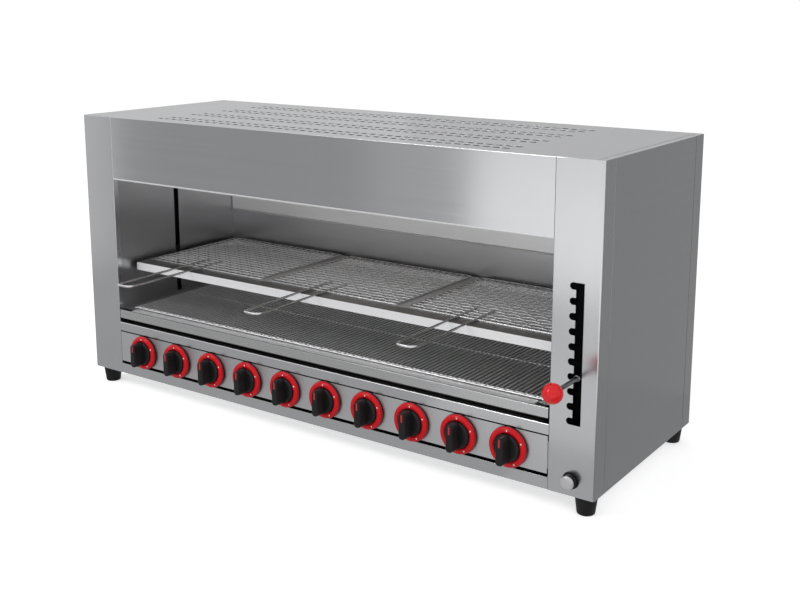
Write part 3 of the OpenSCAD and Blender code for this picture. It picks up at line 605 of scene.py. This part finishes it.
# The hood's lower fold gets the pale satin finish: a painted highlight.
folded("hood_fascia", [(on(y=0, z=HOOD_Z), HOOD_FOLD, "pale_satin"), (on(y=0, z=HIGH), FOLD)])
folded("base_pan", [(on(y=0, z=0), FOLD)])
folded("control_panel", cut=0.5, skin="panel", moves=[
    (near_to(2, PANEL_LOW), (0, 0, PANEL_GAP)), (near_to(2, PANEL_HIGH), (0, 0, -SEAM))])
# The shelf's top, seen only through the gap under the tray, gets the near-black flue steel: painted shade in
# that gap. Its front fold gets a painted highlight.
folded("tray_shelf", [(on(y=0, z=SHELF_TOP), FOLD, "polished_fold")], marks=[(shelf_top, "flue_steel")])
folded("back_panel", [(on(x=side * HALF, y=DEEP), BACK_FOLD) for side in (-1, 1)])
folded("cavity_back_wall")
# The deflector is drawn lighter than the liner steel: painted light on the back wall.
folded("back_wall_deflector", skin="bright_liner")
folded("burner_frame")
folded("grid_ledges")

# %% [markdown]
# The rack's frame is one pierced sheet with a turned-down rim. Its wide front flange has painted shade on
# its top, its front face a painted highlight, and its two crossbars a painted sheen. The slices cut its top
# along the edges of these, so that each can have a finish of its own.

# %% Rack frame
CROSSBAR_NEAR, CROSSBAR_FAR = 154.4, 188.3
FLANGE_BACK, BAR_BACK = 78, 352
FRAME_FRONT = span("rack_frame")[0][1]


def middle_of(face):
    """The distance from the middle of the melter, and the place behind its front, of a face, in mm."""
    centre = face.calc_center_median()
    return abs(centre.x) / MM, (centre.y - FRONT) / MM


def crossbar_top(face):
    x, y = middle_of(face)
    return face.normal.z > 0.9 and CROSSBAR_NEAR < x < CROSSBAR_FAR and FLANGE_BACK < y < BAR_BACK


folded("rack_frame", cut=0.9, slices=[
    (0, -CROSSBAR_FAR), (0, -CROSSBAR_NEAR), (0, CROSSBAR_NEAR), (0, CROSSBAR_FAR), (1, FLANGE_BACK),
    (1, BAR_BACK)], marks=[
    # painted shade on the flange's top, a painted highlight on the front face, a painted sheen on the
    # crossbars
    (lambda f: f.normal.z > 0.9 and middle_of(f)[1] < FLANGE_BACK, "pan_steel"),
    (lambda f: f.normal.y < -0.9 and middle_of(f)[1] < FRAME_FRONT + 1, "pale_satin"),
    (crossbar_top, "worn_satin")])

# %% [markdown]
# ## Vents in the top
# Heat leaves through eight rows of vents, in four staggered pairs. Each is a slot with a small scoop
# pressed in behind it, so that the top stays smooth to the hand. The slots are in the model's sheet.
# Here they are drawn back to the scoop's length, and one scoop is made from a box, by sloping its floor
# and deleting its top and front. Arrays repeat it.

# %% Top panel and scoops
TOP_EDGE = span("top_panel")[1][0]
SLOT_WIDE, SLOT_DEEP, SLOT_PITCH, SLOTS_A_ROW = 13, 4, 19.25, 44
FIRST_ROW, ROW_PITCH, PAIR_PITCH, PAIRS = 39, 28, 95, 4
SCOOP_LONG, SCOOP_DEEP, SCOOP_END, SCOOP_SHEET, UNDER_TOP = 11, 4.5, 0.8, 0.6, 0.4
slot_backs = [FIRST_ROW + pair * PAIR_PITCH + row * ROW_PITCH + SLOT_DEEP
              for pair in range(PAIRS) for row in (0, 1)]
folded("top_panel", cut=0.3, skin="top", moves=[
    (near_to(1, *slot_backs), (0, SCOOP_LONG - SLOT_DEEP, 0)),
    (near_to(0, -TOP_EDGE), (SEAM * 1.5, 0, 0)), (near_to(0, TOP_EDGE), (-SEAM * 1.5, 0, 0))])


def scoops(middle_x, front):
    """One row of scoops in every pair."""
    low, first_x = HIGH - SCOOP_DEEP, middle_x - (SLOTS_A_ROW - 1) / 2 * SLOT_PITCH
    scoop = box((first_x - SLOT_WIDE / 2, front, low),
                (first_x + SLOT_WIDE / 2, front + SCOOP_LONG, HIGH - UNDER_TOP))
    edit(scoop)
    pick(scoop, "verts", lambda v: v.co.z < at(0, 0, low + 1).z and v.co.y > at(0, front + 1, 0).y)
    bpy.ops.transform.translate(value=(0, 0, (SCOOP_DEEP - SCOOP_END) * MM))
    pick(scoop, "faces", lambda f: f.normal.z > 0.9 or f.normal.y < -0.9)
    bpy.ops.mesh.delete(type="ONLY_FACE")
    leave()
    modify(scoop, "SOLIDIFY", thickness=SCOOP_SHEET * MM, offset=1)
    for count, step in ((SLOTS_A_ROW, (SLOT_PITCH * MM, 0, 0)), (PAIRS, (0, PAIR_PITCH * MM, 0))):
        modify(scoop, "ARRAY", count=count, use_relative_offset=False, use_constant_offset=True,
               constant_offset_displace=step)
    return scoop


front_rows = scoops(-SLOT_PITCH / 4, FIRST_ROW)
rear_rows = scoops(SLOT_PITCH / 4, FIRST_ROW + ROW_PITCH)
# The scoops are near-black: painted shade inside the vents.
finish(join([front_rows, rear_rows]), "vent_scoops", "casing", "soot", slot="stainless_sheet", smooth=None)
print("vents:", SLOTS_A_ROW * len(slot_backs))

# %% [markdown]
# ## Drip tray
# The tray is a shallow pan pressed from one sheet, with round corners and an open top, and a strip
# along its front that the hand pulls. The pan starts as a box: its top face is deleted, its corners and
# bottom edges are bevelled, and Solidify gives the sheet its thickness inwards. The strip is a folded
# sheet like the casing's, with a flange that runs back to the lower grid, so that fat from the grid's
# front wire still ends in the pan.

# %% Drip tray
SHEET, CUT_EDGE = 1.2, 0.3
PAN_CORNER, PAN_EDGE, STRIP_FOLD = 9, 4, 1.1
STRIP_TOP = span("tray_front")[1][2]
FLANGE_HALF, FLANGE_Y, FLANGE_CORNER = 493, (3.5, 25.5), 5


def upright(edge):
    a, b = (vert.co for vert in edge.verts)
    return abs((a - b).z) > 0.9 * (a - b).length


pan_low, pan_high = span("tray_floor")[0], span("tray_side_walls")[1]
pan = box(pan_low, pan_high)
edit(pan)
pick(pan, "faces", lambda face: face.normal.z > 0.9)
bpy.ops.mesh.delete(type="ONLY_FACE")
pick(pan, "edges", upright)
bpy.ops.mesh.bevel(offset=PAN_CORNER * MM, segments=5, affect="EDGES")
pick(pan, "edges", on(z=pan_low[2]))
bpy.ops.mesh.bevel(offset=PAN_EDGE * MM, segments=4, affect="EDGES")
leave()
modify(pan, "SOLIDIFY", thickness=SHEET * MM, offset=-1, use_even_offset=True)
soften(pan, CUT_EDGE)
# The pan gets the darkened tray steel, darker than the tray's front strip.
finish(pan, "drip_tray_pan", "drip_tray", "pan_steel", slot="tray_steel",
       nodes=["tray_floor", "tray_side_walls", "tray_end_walls"])

folded("tray_front", [(on(y=0, z=STRIP_TOP), STRIP_FOLD)])
flange = box((-FLANGE_HALF, FLANGE_Y[0], STRIP_TOP - SHEET), (FLANGE_HALF, FLANGE_Y[1], STRIP_TOP))
edit(flange)
pick(flange, "edges", lambda edge: on(y=FLANGE_Y[1])(edge) and upright(edge))
bpy.ops.mesh.bevel(offset=FLANGE_CORNER * MM, segments=4, affect="EDGES")
leave()
soften(flange, CUT_EDGE)
# The flange is drawn lighter than the tray steel: painted light under the grid.
finish(flange, "drip_tray_flange", "drip_tray", "bright_liner", slot="tray_steel")
print("pan:", len(pan.data.polygons), "faces")

# %% [markdown]
# ## Wire racks
# Each of the three racks is a mesh of thin crimped wires, which pass over and under each other, welded
# into a rim of thicker wire with rounded corners. A bent wire loop is its handle. The mesh is a piece
# of its own, because it is drawn paler and partly matt, a painted sheen. A bevelled curve makes such wires:
# it follows their points and has their own round section. It then becomes a mesh, with few sides, because
# there are many wires.

# %% Helpers for wire


def bend(points, radius, steps=4, closed=False):
    """The points with every corner rounded to the given radius, all in mm."""
    points = [Vector(p) for p in points]
    made = []
    for i, corner in enumerate(points):
        if not closed and i in (0, len(points) - 1):
            made.append(corner)
            continue
        back = (points[i - 1] - corner).normalized()
        ahead = (points[(i + 1) % len(points)] - corner).normalized()
        reach = radius / math.tan(back.angle(ahead) / 2)
        first, last = corner + back * reach, corner + ahead * reach
        for k in range(steps + 1):
            t = k / steps
            made.append(first * (1 - t) ** 2 + corner * 2 * t * (1 - t) + last * t ** 2)
    return made


def wire(paths, thick, sides=6, closed=False):
    """Round wires along paths of points in mm, as one mesh."""
    curve = bpy.data.curves.new("wire", "CURVE")
    curve.dimensions = "3D"
    curve.bevel_depth = thick / 2 * MM
    curve.bevel_resolution = (sides - 4) // 2
    curve.use_fill_caps = True
    for path in paths:
        spline = curve.splines.new("POLY")
        spline.points.add(len(path) - 1)
        for point, place in zip(spline.points, path):
            point.co = (*at(*place), 1)
        spline.use_cyclic_u = closed
    made = bpy.data.objects.new("wire", curve)
    bpy.context.scene.collection.objects.link(made)
    only(made)
    bpy.ops.object.convert(target="MESH")
    return bpy.context.object


# %% Three wire racks
RACK_STEP = 1027.9 / 3  # from the middle of one rack to the next
RACK_HALF, RACK_NEAR, RACK_FAR = span("middle_wire_rack")[1][0], 80.0, span("middle_wire_rack")[1][1]
MESH_PITCH, MESH_WIRE, CRIMP, MESH_Z = 16.0, 1.6, 0.75, 245.05
RIM_WIRE, RIM_INSET, RIM_CORNER = 3.3, 1.7, 8
HANDLE_WIRE, HANDLE_HALF, HANDLE_CORNER = 4.5, 19, 15
HANDLE_X, HANDLE_Z, HANDLE_END, HANDLE_WELD = -28, 245.8, -121.5, 144


def crimped(fixed, first, last, crossings, parity, lengthwise, middle):
    """One mesh wire: it goes over and under the wires that it crosses."""
    step = (last - first) / (crossings + 1)
    path = []
    for i in range(crossings + 2):
        lift = 0 if i in (0, crossings + 1) else CRIMP * (1 if (i + parity) % 2 else -1)
        far = first + i * step
        x, y = (fixed, far) if lengthwise else (far, fixed)
        path.append((middle + x, y, MESH_Z + lift))
    return path


def wire_rack(name, middle):
    """A rack's mesh, and its rim with the handle. Returns the mesh."""
    wide, near, far = RACK_HALF - RIM_INSET, RACK_NEAR + RIM_INSET, RACK_FAR - RIM_INSET
    columns, rows = (round(size / MESH_PITCH) - 1 for size in (2 * wide, far - near))
    column_step, row_step = 2 * wide / (columns + 1), (far - near) / (rows + 1)
    wires = [crimped(near + (i + 1) * row_step, -wide, wide, columns, i, False, middle) for i in range(rows)]
    wires += [crimped(-wide + (i + 1) * column_step, near, far, rows, i + 1, True, middle)
              for i in range(columns)]
    mesh = finish(wire(wires, MESH_WIRE), name + "_mesh", name, "mesh_wire", slot="chrome_wire",
                  nodes=[name], smooth=60)
    rim = [(middle + x, y, MESH_Z) for x, y in ((-wide, near), (wide, near), (wide, far), (-wide, far))]
    left, right = middle + HANDLE_X - HANDLE_HALF, middle + HANDLE_X + HANDLE_HALF
    loop = [(x, y, HANDLE_Z) for x, y in
            ((left, HANDLE_WELD), (left, HANDLE_END), (right, HANDLE_END), (right, HANDLE_WELD))]
    welded = join([wire([bend(rim, RIM_CORNER, closed=True)], RIM_WIRE, 10, True),
                   wire([bend(loop, HANDLE_CORNER, 8)], HANDLE_WIRE, 14)])
    finish(welded, name + "_rim_and_handle", name, "chrome_wire", smooth=60)
    return mesh


for k, name in enumerate(("left_wire_rack", "middle_wire_rack", "right_wire_rack")):
    made = wire_rack(name, (k - 1) * RACK_STEP)
    print(name, len(made.data.polygons), "faces")

# %% [markdown]
# The sheet on the cavity's back wall has a round hem along its lower edge. It is one straight wire, in a
# pale finish that paints a highlight along it.

# %% Hem behind the racks
HEM_HALF, HEM_Y, HEM_Z, HEM_WIRE = 521, 360.6, 313, 3.4
hem = [(-HEM_HALF, HEM_Y, HEM_Z), (HEM_HALF, HEM_Y, HEM_Z)]
finish(wire([hem], HEM_WIRE, 10), "deflector_hem", "casing", "pale_satin", slot="liner_sheet")
print("hem:", 2 * HEM_HALF, "mm")

# %% [markdown]
# ## Lower grid
# The lower grid is one long wire bent to and fro, welded across rods and to a straight wire along the
# front. Its narrow hairpins show as a row of small tips behind that wire. The path is drawn as a list
# of points, so every hairpin is the same.

# %% Lower grid
(_, GRID_NEAR, GRID_LOW), (GRID_HALF, GRID_FAR, GRID_TOP) = span("lower_grid")
ROD, BAR, BARS, BAR_END, HAIRPIN = 2.6, 3.1, 104, 4, 4.4
ROD_NEAR, ROD_MIDDLE, ROD_FAR = GRID_NEAR + 10, 188, GRID_FAR - 9
bar_z, rod_z, rod_y = GRID_TOP - BAR / 2, GRID_LOW + ROD / 2, GRID_NEAR + ROD / 2
front_z = bar_z - 0.3
half = GRID_HALF - BAR_END
snake = []
for i in range(BARS):
    x = -half + 2 * half * i / (BARS - 1)
    near, far = (x, GRID_NEAR + ROD + BAR / 2, bar_z), (x, GRID_FAR - BAR / 2, bar_z)
    snake += [near, far] if i % 2 else [far, near]
rods = [[(-GRID_HALF, y, z), (GRID_HALF, y, z)] for y, z in
        ((ROD_NEAR, rod_z), (ROD_MIDDLE, rod_z), (ROD_FAR, rod_z), (rod_y, front_z))]
rods += [[(x, rod_y, rod_z), (x, ROD_FAR, rod_z)] for x in (-GRID_HALF + ROD / 2, GRID_HALF - ROD / 2)]
grid = join([wire([bend(snake, HAIRPIN, 3)], BAR), wire(rods, ROD, 8)])
finish(grid, "lower_grid_wires", "lower_grid", "grid_wire", nodes=["lower_grid"], smooth=60)
print("lower grid:", len(grid.data.polygons), "faces")

# %% [markdown]
# ## Knobs and rings
# Behind every knob a red ring is screwed to the panel, domed like half a tyre, with three white dots
# for off, full and low. It stands on a thin black base. Each is an outline spun round the knob's axis.
# The knob itself is a thin disc with a straight grip bar across it, which has round ends, slightly
# sloped sides and a red tick at the top. One ring is made and copied to ten places.

# %% Helpers for turned parts
BACK, UP = Vector((0, 1, 0)), Vector((0, 0, 1))


def turned(points, centre, axis=BACK, steps=48):
    """Draws a half outline of (radius, distance along the axis) in mm and spins it round the axis."""
    side = Vector((1, 0, 0))
    places = [centre + side * r * MM + axis * a * MM for r, a in points]
    bpy.ops.object.select_all(action="DESELECT")
    bpy.ops.mesh.primitive_plane_add(size=MM, location=places[0])
    piece = bpy.context.object
    edit(piece, "VERT")
    bpy.ops.mesh.merge(type="CENTER")
    for here, there in zip(places, places[1:]):
        bpy.ops.mesh.extrude_region_move(TRANSFORM_OT_translate={"value": there - here})
    bpy.ops.mesh.select_all(action="SELECT")
    bpy.ops.mesh.spin(steps=steps, angle=math.tau, center=centre, axis=axis)
    bpy.ops.mesh.select_all(action="SELECT")
    bpy.ops.mesh.remove_doubles(threshold=2e-6)
    bpy.ops.mesh.normals_make_consistent(inside=False)
    leave()
    bpy.ops.object.transform_apply(location=True, rotation=True, scale=True)
    return piece


def copy_at(piece, shift):
    """A copy of a piece with its own mesh, moved by shift in mm."""
    made = bpy.data.objects.new(piece.name, piece.data.copy())
    bpy.context.scene.collection.objects.link(made)
    only(made)
    bpy.ops.transform.translate(value=Vector(shift) * MM)
    bpy.ops.object.transform_apply(location=True, rotation=True, scale=True)
    return made


# %% Ten rings and their dots
KNOBS, KNOB_PITCH, KNOB_Z = 10, 100, 59.5
knob_x = [(i - (KNOBS - 1) / 2) * KNOB_PITCH for i in range(KNOBS)]
first = at(knob_x[0], 0, KNOB_Z)
BORE, RING_BACK, BASE_RADIUS, BASE_FRONT = 25.3, -4.2, 36.5, -4.1
OFF, FULL, LOW = 0, 65, 150  # in degrees from the top
DOT_CIRCLE, DOT_Y, DOT_RADIUS, DOT_HEIGHT = 30.6, -9.75, 1.7, 0.14


def ten(pieces):
    """One piece from these and their copies at all ten knobs."""
    shifts = [(i * KNOB_PITCH, 0, 0) for i in range(1, KNOBS)]
    return join(pieces + [copy_at(piece, shift) for piece in pieces for shift in shifts])


ring = turned([(BORE, RING_BACK), (BORE, -6.8), (25.8, -8.2), (27.2, -9.4), (29.2, -9.9), (31.2, -9.9),
               (33.2, -9.3), (34.9, -8.1), (36.0, -6.5), (36.4, -4.8), (36.4, RING_BACK),
               (BORE, RING_BACK)], first, steps=64)
base = turned([(BORE, 0), (BORE, BASE_FRONT), (BASE_RADIUS - 0.4, BASE_FRONT),
               (BASE_RADIUS, BASE_FRONT + 0.4), (BASE_RADIUS, 0), (BORE, 0)], first, steps=64)
finish(ten([ring]), "knob_rings", "casing", "red_plastic", nodes=["knob_bezels"])
finish(ten([base]), "ring_bases", "casing", "black_plastic")

dots = []
for turn in (OFF, FULL, LOW):
    a = math.radians(turn)
    place = first + Vector((math.sin(a) * DOT_CIRCLE, DOT_Y, math.cos(a) * DOT_CIRCLE)) * MM
    bpy.ops.mesh.primitive_uv_sphere_add(segments=12, ring_count=6, radius=DOT_RADIUS * MM, location=place)
    dot = bpy.context.object
    dot.scale = (1, DOT_HEIGHT, 1)
    bpy.ops.object.transform_apply(location=True, rotation=True, scale=True)
    dots.append(dot)
finish(ten(dots), "ring_dots", "casing", "white_mark")
print("rings:", KNOBS, "dots:", KNOBS * len(dots))

# %% Ten knobs
GRIP_WIDE, GRIP_TALL, GRIP_FRONT, GRIP_BACK = 16, 51, -35, -10.5
GRIP_CORNER, GRIP_EDGE, GRIP_DRAWN_IN = 6.5, 1.3, (0.86, 1, 0.95)
TICK_HALF, TICK_LOW, TICK_HIGH = 1.5, 9, 23


def knob_grip(x):
    """The grip bar: a box whose upright ends are rounded and whose front is drawn in."""
    grip = box((x - GRIP_WIDE / 2, GRIP_FRONT, KNOB_Z - GRIP_TALL / 2),
               (x + GRIP_WIDE / 2, GRIP_BACK, KNOB_Z + GRIP_TALL / 2))
    edit(grip)
    pick(grip, "edges", lambda e: abs((e.verts[0].co - e.verts[1].co).y) > GRIP_WIDE / 2 * MM)
    bpy.ops.mesh.bevel(offset=GRIP_CORNER * MM, segments=6, affect="EDGES")
    pick(grip, "faces", lambda f: f.normal.y < -0.9)
    bpy.ops.transform.resize(value=GRIP_DRAWN_IN, center_override=at(x, GRIP_FRONT, KNOB_Z))
    bpy.ops.mesh.bevel(offset=GRIP_EDGE * MM, segments=3, affect="EDGES")
    leave()
    return grip


def knob_disc(x):
    """The disc behind the grip, with the spindle that it turns."""
    return turned([(0, -12.5), (19, -12.5), (22.5, -12.2), (24.2, -11.2), (24.8, -9.6), (24.8, -2), (4, -2),
                   (4, 35), (0, 35)], at(x, 0, KNOB_Z))


def knob_tick(x):
    """The red tick on the grip's front, which stands out by a hair."""
    tick = box((x - TICK_HALF, GRIP_FRONT - 0.2, KNOB_Z + TICK_LOW),
               (x + TICK_HALF, GRIP_FRONT + 1, KNOB_Z + TICK_HIGH))
    edit(tick)
    pick(tick, "faces", lambda f: f.normal.y < -0.9)
    bpy.ops.mesh.inset(thickness=0.4 * MM, depth=0)
    leave()
    return tick


for i, x in enumerate(knob_x, 1):
    knob = join([knob_disc(x), knob_grip(x)])
    modify(knob, "WEIGHTED_NORMAL", weight=50, keep_sharp=True)
    finish(knob, f"knob_{i}_body", f"knob_{i}", "knob_plastic", nodes=[f"knob_{i}"])
    finish(knob_tick(x), f"knob_{i}_tick", f"knob_{i}", "red_mark", slot="red_plastic", smooth=None)
print("knobs:", len(knob_x))

# %% [markdown]
# ## Lever, ball, igniter and feet
# These are all turned shapes. The ball is a sphere with a short neck where the rod enters it. The
# lever's rod ends in an eye on its pin, and a small collar sits on it just behind the slot. The igniter
# is a flanged sleeve with a push button. The feet are moulded rubber with a rounded rim.

# %% Ball and lever
LEVER_X, LEVER_Z, BALL_Y, BALL_RADIUS, PIVOT_Y = 574, 206.6, -88, 17, 150
ROD_RADIUS, ROD_START, ROD_END, EYE_BORE, EYE_RADIUS = 4, 3, 228, 3.08, 8.5
centre = at(LEVER_X, BALL_Y, LEVER_Z)
arc = [(BALL_RADIUS * math.sin(math.radians(a)), -BALL_RADIUS * math.cos(math.radians(a)))
       for a in range(0, 157, 6)]
neck = [(6.4, 16.3), (6.0, 17.0), (ROD_RADIUS, 17.0), (ROD_RADIUS, 2), (0, 2)]
ball = turned(arc + neck, centre, steps=56)
finish(ball, "lever_ball", "lever", "ball_plastic", nodes=["ball_knob"], smooth=50)
collar = [(ROD_RADIUS, 84), (5.6, 84.6), (5.9, 85.4), (5.9, 93.6), (5.6, 94.4), (ROD_RADIUS, 95)]
rod = turned([(0, ROD_START), (ROD_RADIUS, ROD_START), *collar, (ROD_RADIUS, ROD_END), (0, ROD_END)],
             centre, steps=32)
eye = turned([(EYE_BORE, -4), (EYE_RADIUS - 0.4, -4), (EYE_RADIUS, -3.6), (EYE_RADIUS, 3.6),
              (EYE_RADIUS - 0.4, 4), (EYE_BORE, 4), (EYE_BORE, -4)],
             at(LEVER_X, PIVOT_Y, LEVER_Z), UP, 32)
finish(join([rod, eye]), "lever_bar", "lever", "chrome_bar", nodes=["lever_rod"])
print("lever:", ROD_END - ROD_START, "mm long")

# %% Igniter
IGNITER_X, IGNITER_Z = 567.5, 28
CAP_BACK = -13.8
spot = at(IGNITER_X, 0, IGNITER_Z)
sleeve = turned([(0, 24), (12.58, 24), (12.58, -1.9), (13.1, -2.5), (14.2, -2.5), (14.8, -2.1), (15, -1.4),
                 (15, 0), (13.5, 0), (13.5, 30), (9, 30), (9, 59.5), (8.5, 60), (0, 60)], spot)
finish(sleeve, "igniter_sleeve", "casing", "black_plastic", nodes=["igniter_body"])
button = turned([(0, CAP_BACK), (11.6, CAP_BACK), (12.3, -13.4), (12.5, -12.6), (12.5, 17.5),
                 (0, 17.5)], spot)
finish(button, "igniter_push_button", "igniter_button", "black_plastic", nodes=["igniter_button"])
cap = turned([(0, -17), (6, -16.9), (9.5, -16.5), (11.3, -15.7), (12, -14.6), (12, CAP_BACK), (0, CAP_BACK)],
             spot)
finish(cap, "igniter_button_cap", "igniter_button", "button_cap", nodes=["igniter_cap"])
print("igniter: a sleeve, a button and its cap")

# %% Feet
FOOT_X, FOOT_Y, FOOT_STEP_Y, FOOT_HIGH = -585, 25, 380, 35


def four(piece):
    """One piece from this and its copies at the other three feet."""
    shifts = ((-2 * FOOT_X, 0, 0), (0, FOOT_STEP_Y, 0), (-2 * FOOT_X, FOOT_STEP_Y, 0))
    return join([piece] + [copy_at(piece, shift) for shift in shifts])


foot = turned([(0, 0), (19.6, 0), (20.3, -0.5), (20.5, -1.4), (20.3, -3.2), (19.4, -5), (15.9, -31.6),
               (15.4, -33.6), (14.2, -34.7), (12.6, -FOOT_HIGH), (9, -FOOT_HIGH), (8.4, -33.4),
               (0, -33.4)], at(FOOT_X, FOOT_Y, 0), UP)
finish(four(foot), "rubber_feet", "casing", "foot_rubber", nodes=["feet"])
print("feet: 4")

# %% [markdown]
# ## Back: screws and gas inlet
# The back panel is held by twelve pan-head screws with a cross recess. The gas inlet is a brass body
# with a parallel thread. The thread is modelled as a row of ridges on a turned outline, which looks the
# same at this size as a true helix and stays a closed shape.

# %% Screws and foot bolts
screw_x, screw_z = (-573.4, -195.2, 195.2, 573.4), (22.6, 282.5, 525.45)
RECESS_LONG, RECESS_THIN = 2.2, 0.5  # halves of the cross's bars
x, z = screw_x[0], screw_z[0]
screw = turned([(0, -8), (2, -8), (2, 0), (4, 0), (4, 0.5), (3.7, 1.3), (3, 1.9), (1.7, 2.3), (0, 2.4)],
               at(x, DEEP, z), steps=24)
cutter = join([box((x - wide, DEEP + deep, z - tall), (x + wide, DEEP + deep + 2, z + tall))
               for wide, tall, deep in ((RECESS_LONG, RECESS_THIN, 1.0), (RECESS_THIN, RECESS_LONG, 1.1))])
modify(screw, "BOOLEAN", operation="DIFFERENCE", object=cutter, solver="EXACT", use_self=True)
bpy.data.objects.remove(cutter)
places = [(sx, sz) for sx in screw_x for sz in screw_z if (sx, sz) != (x, z)]
screws = [screw] + [copy_at(screw, (sx - x, 0, sz - z)) for sx, sz in places]
bolt = turned([(0, -27), (4, -27), (4, 1.2), (6.8, 1.2), (6.8, 8.2), (0, 8.2)],
              at(FOOT_X, FOOT_Y, 0), UP, steps=24)
finish(join([*screws, four(bolt)]), "casing_screws", "casing", "zinc_fixings", nodes=["casing_fixings"])
print("screws:", len(screws), "foot bolts: 4")

# %% Gas inlet
INLET_X, INLET_END = 511.65, 450
THREAD_TOP, THREAD_ROOT, THREAD_PITCH, THREAD_START = 10.477, 9.316, 1.814, 430
BODY_RADIUS, BODY_START, BODY_END, INLET_BORE = 14.15, 390, 428.8, 7.6
ridges = int((INLET_END - THREAD_START - 0.5) / THREAD_PITCH)
outline = [(0, BODY_START), (13.4, BODY_START), (BODY_RADIUS, BODY_START + 0.8),
           (BODY_RADIUS, BODY_END - 0.6), (13.5, BODY_END), (THREAD_ROOT, BODY_END)]
for k in range(ridges):
    y = THREAD_START + k * THREAD_PITCH
    crest = [(THREAD_TOP, y + share * THREAD_PITCH) for share in (0.42, 0.58)]
    outline += [(THREAD_ROOT, y), *crest]
outline += [(THREAD_ROOT, THREAD_START + ridges * THREAD_PITCH), (THREAD_ROOT - 0.3, INLET_END),
            (INLET_BORE, INLET_END), (INLET_BORE - 0.2, INLET_END - 0.3), (INLET_BORE - 0.2, 434), (0, 434)]
inlet = turned(outline, at(INLET_X, 0, KNOB_Z), steps=40)
finish(inlet, "gas_inlet_thread", "casing", "gas_brass", nodes=["gas_inlet"], smooth=30)
print("thread ridges:", ridges)

# %% [markdown]
# ## The rest
# Every part that keeps its own solid gets the finish of its material.

# %% Finish of the other parts
kept = [name for name, node in frame["nodes"].items() if not node.hide_render]
for name in kept:
    mesh = frame["nodes"][name].data
    mesh.materials.clear()
    mesh.materials.append(FINISH[SLOT_OF[name]])
print("parts that keep their solids:", kept)
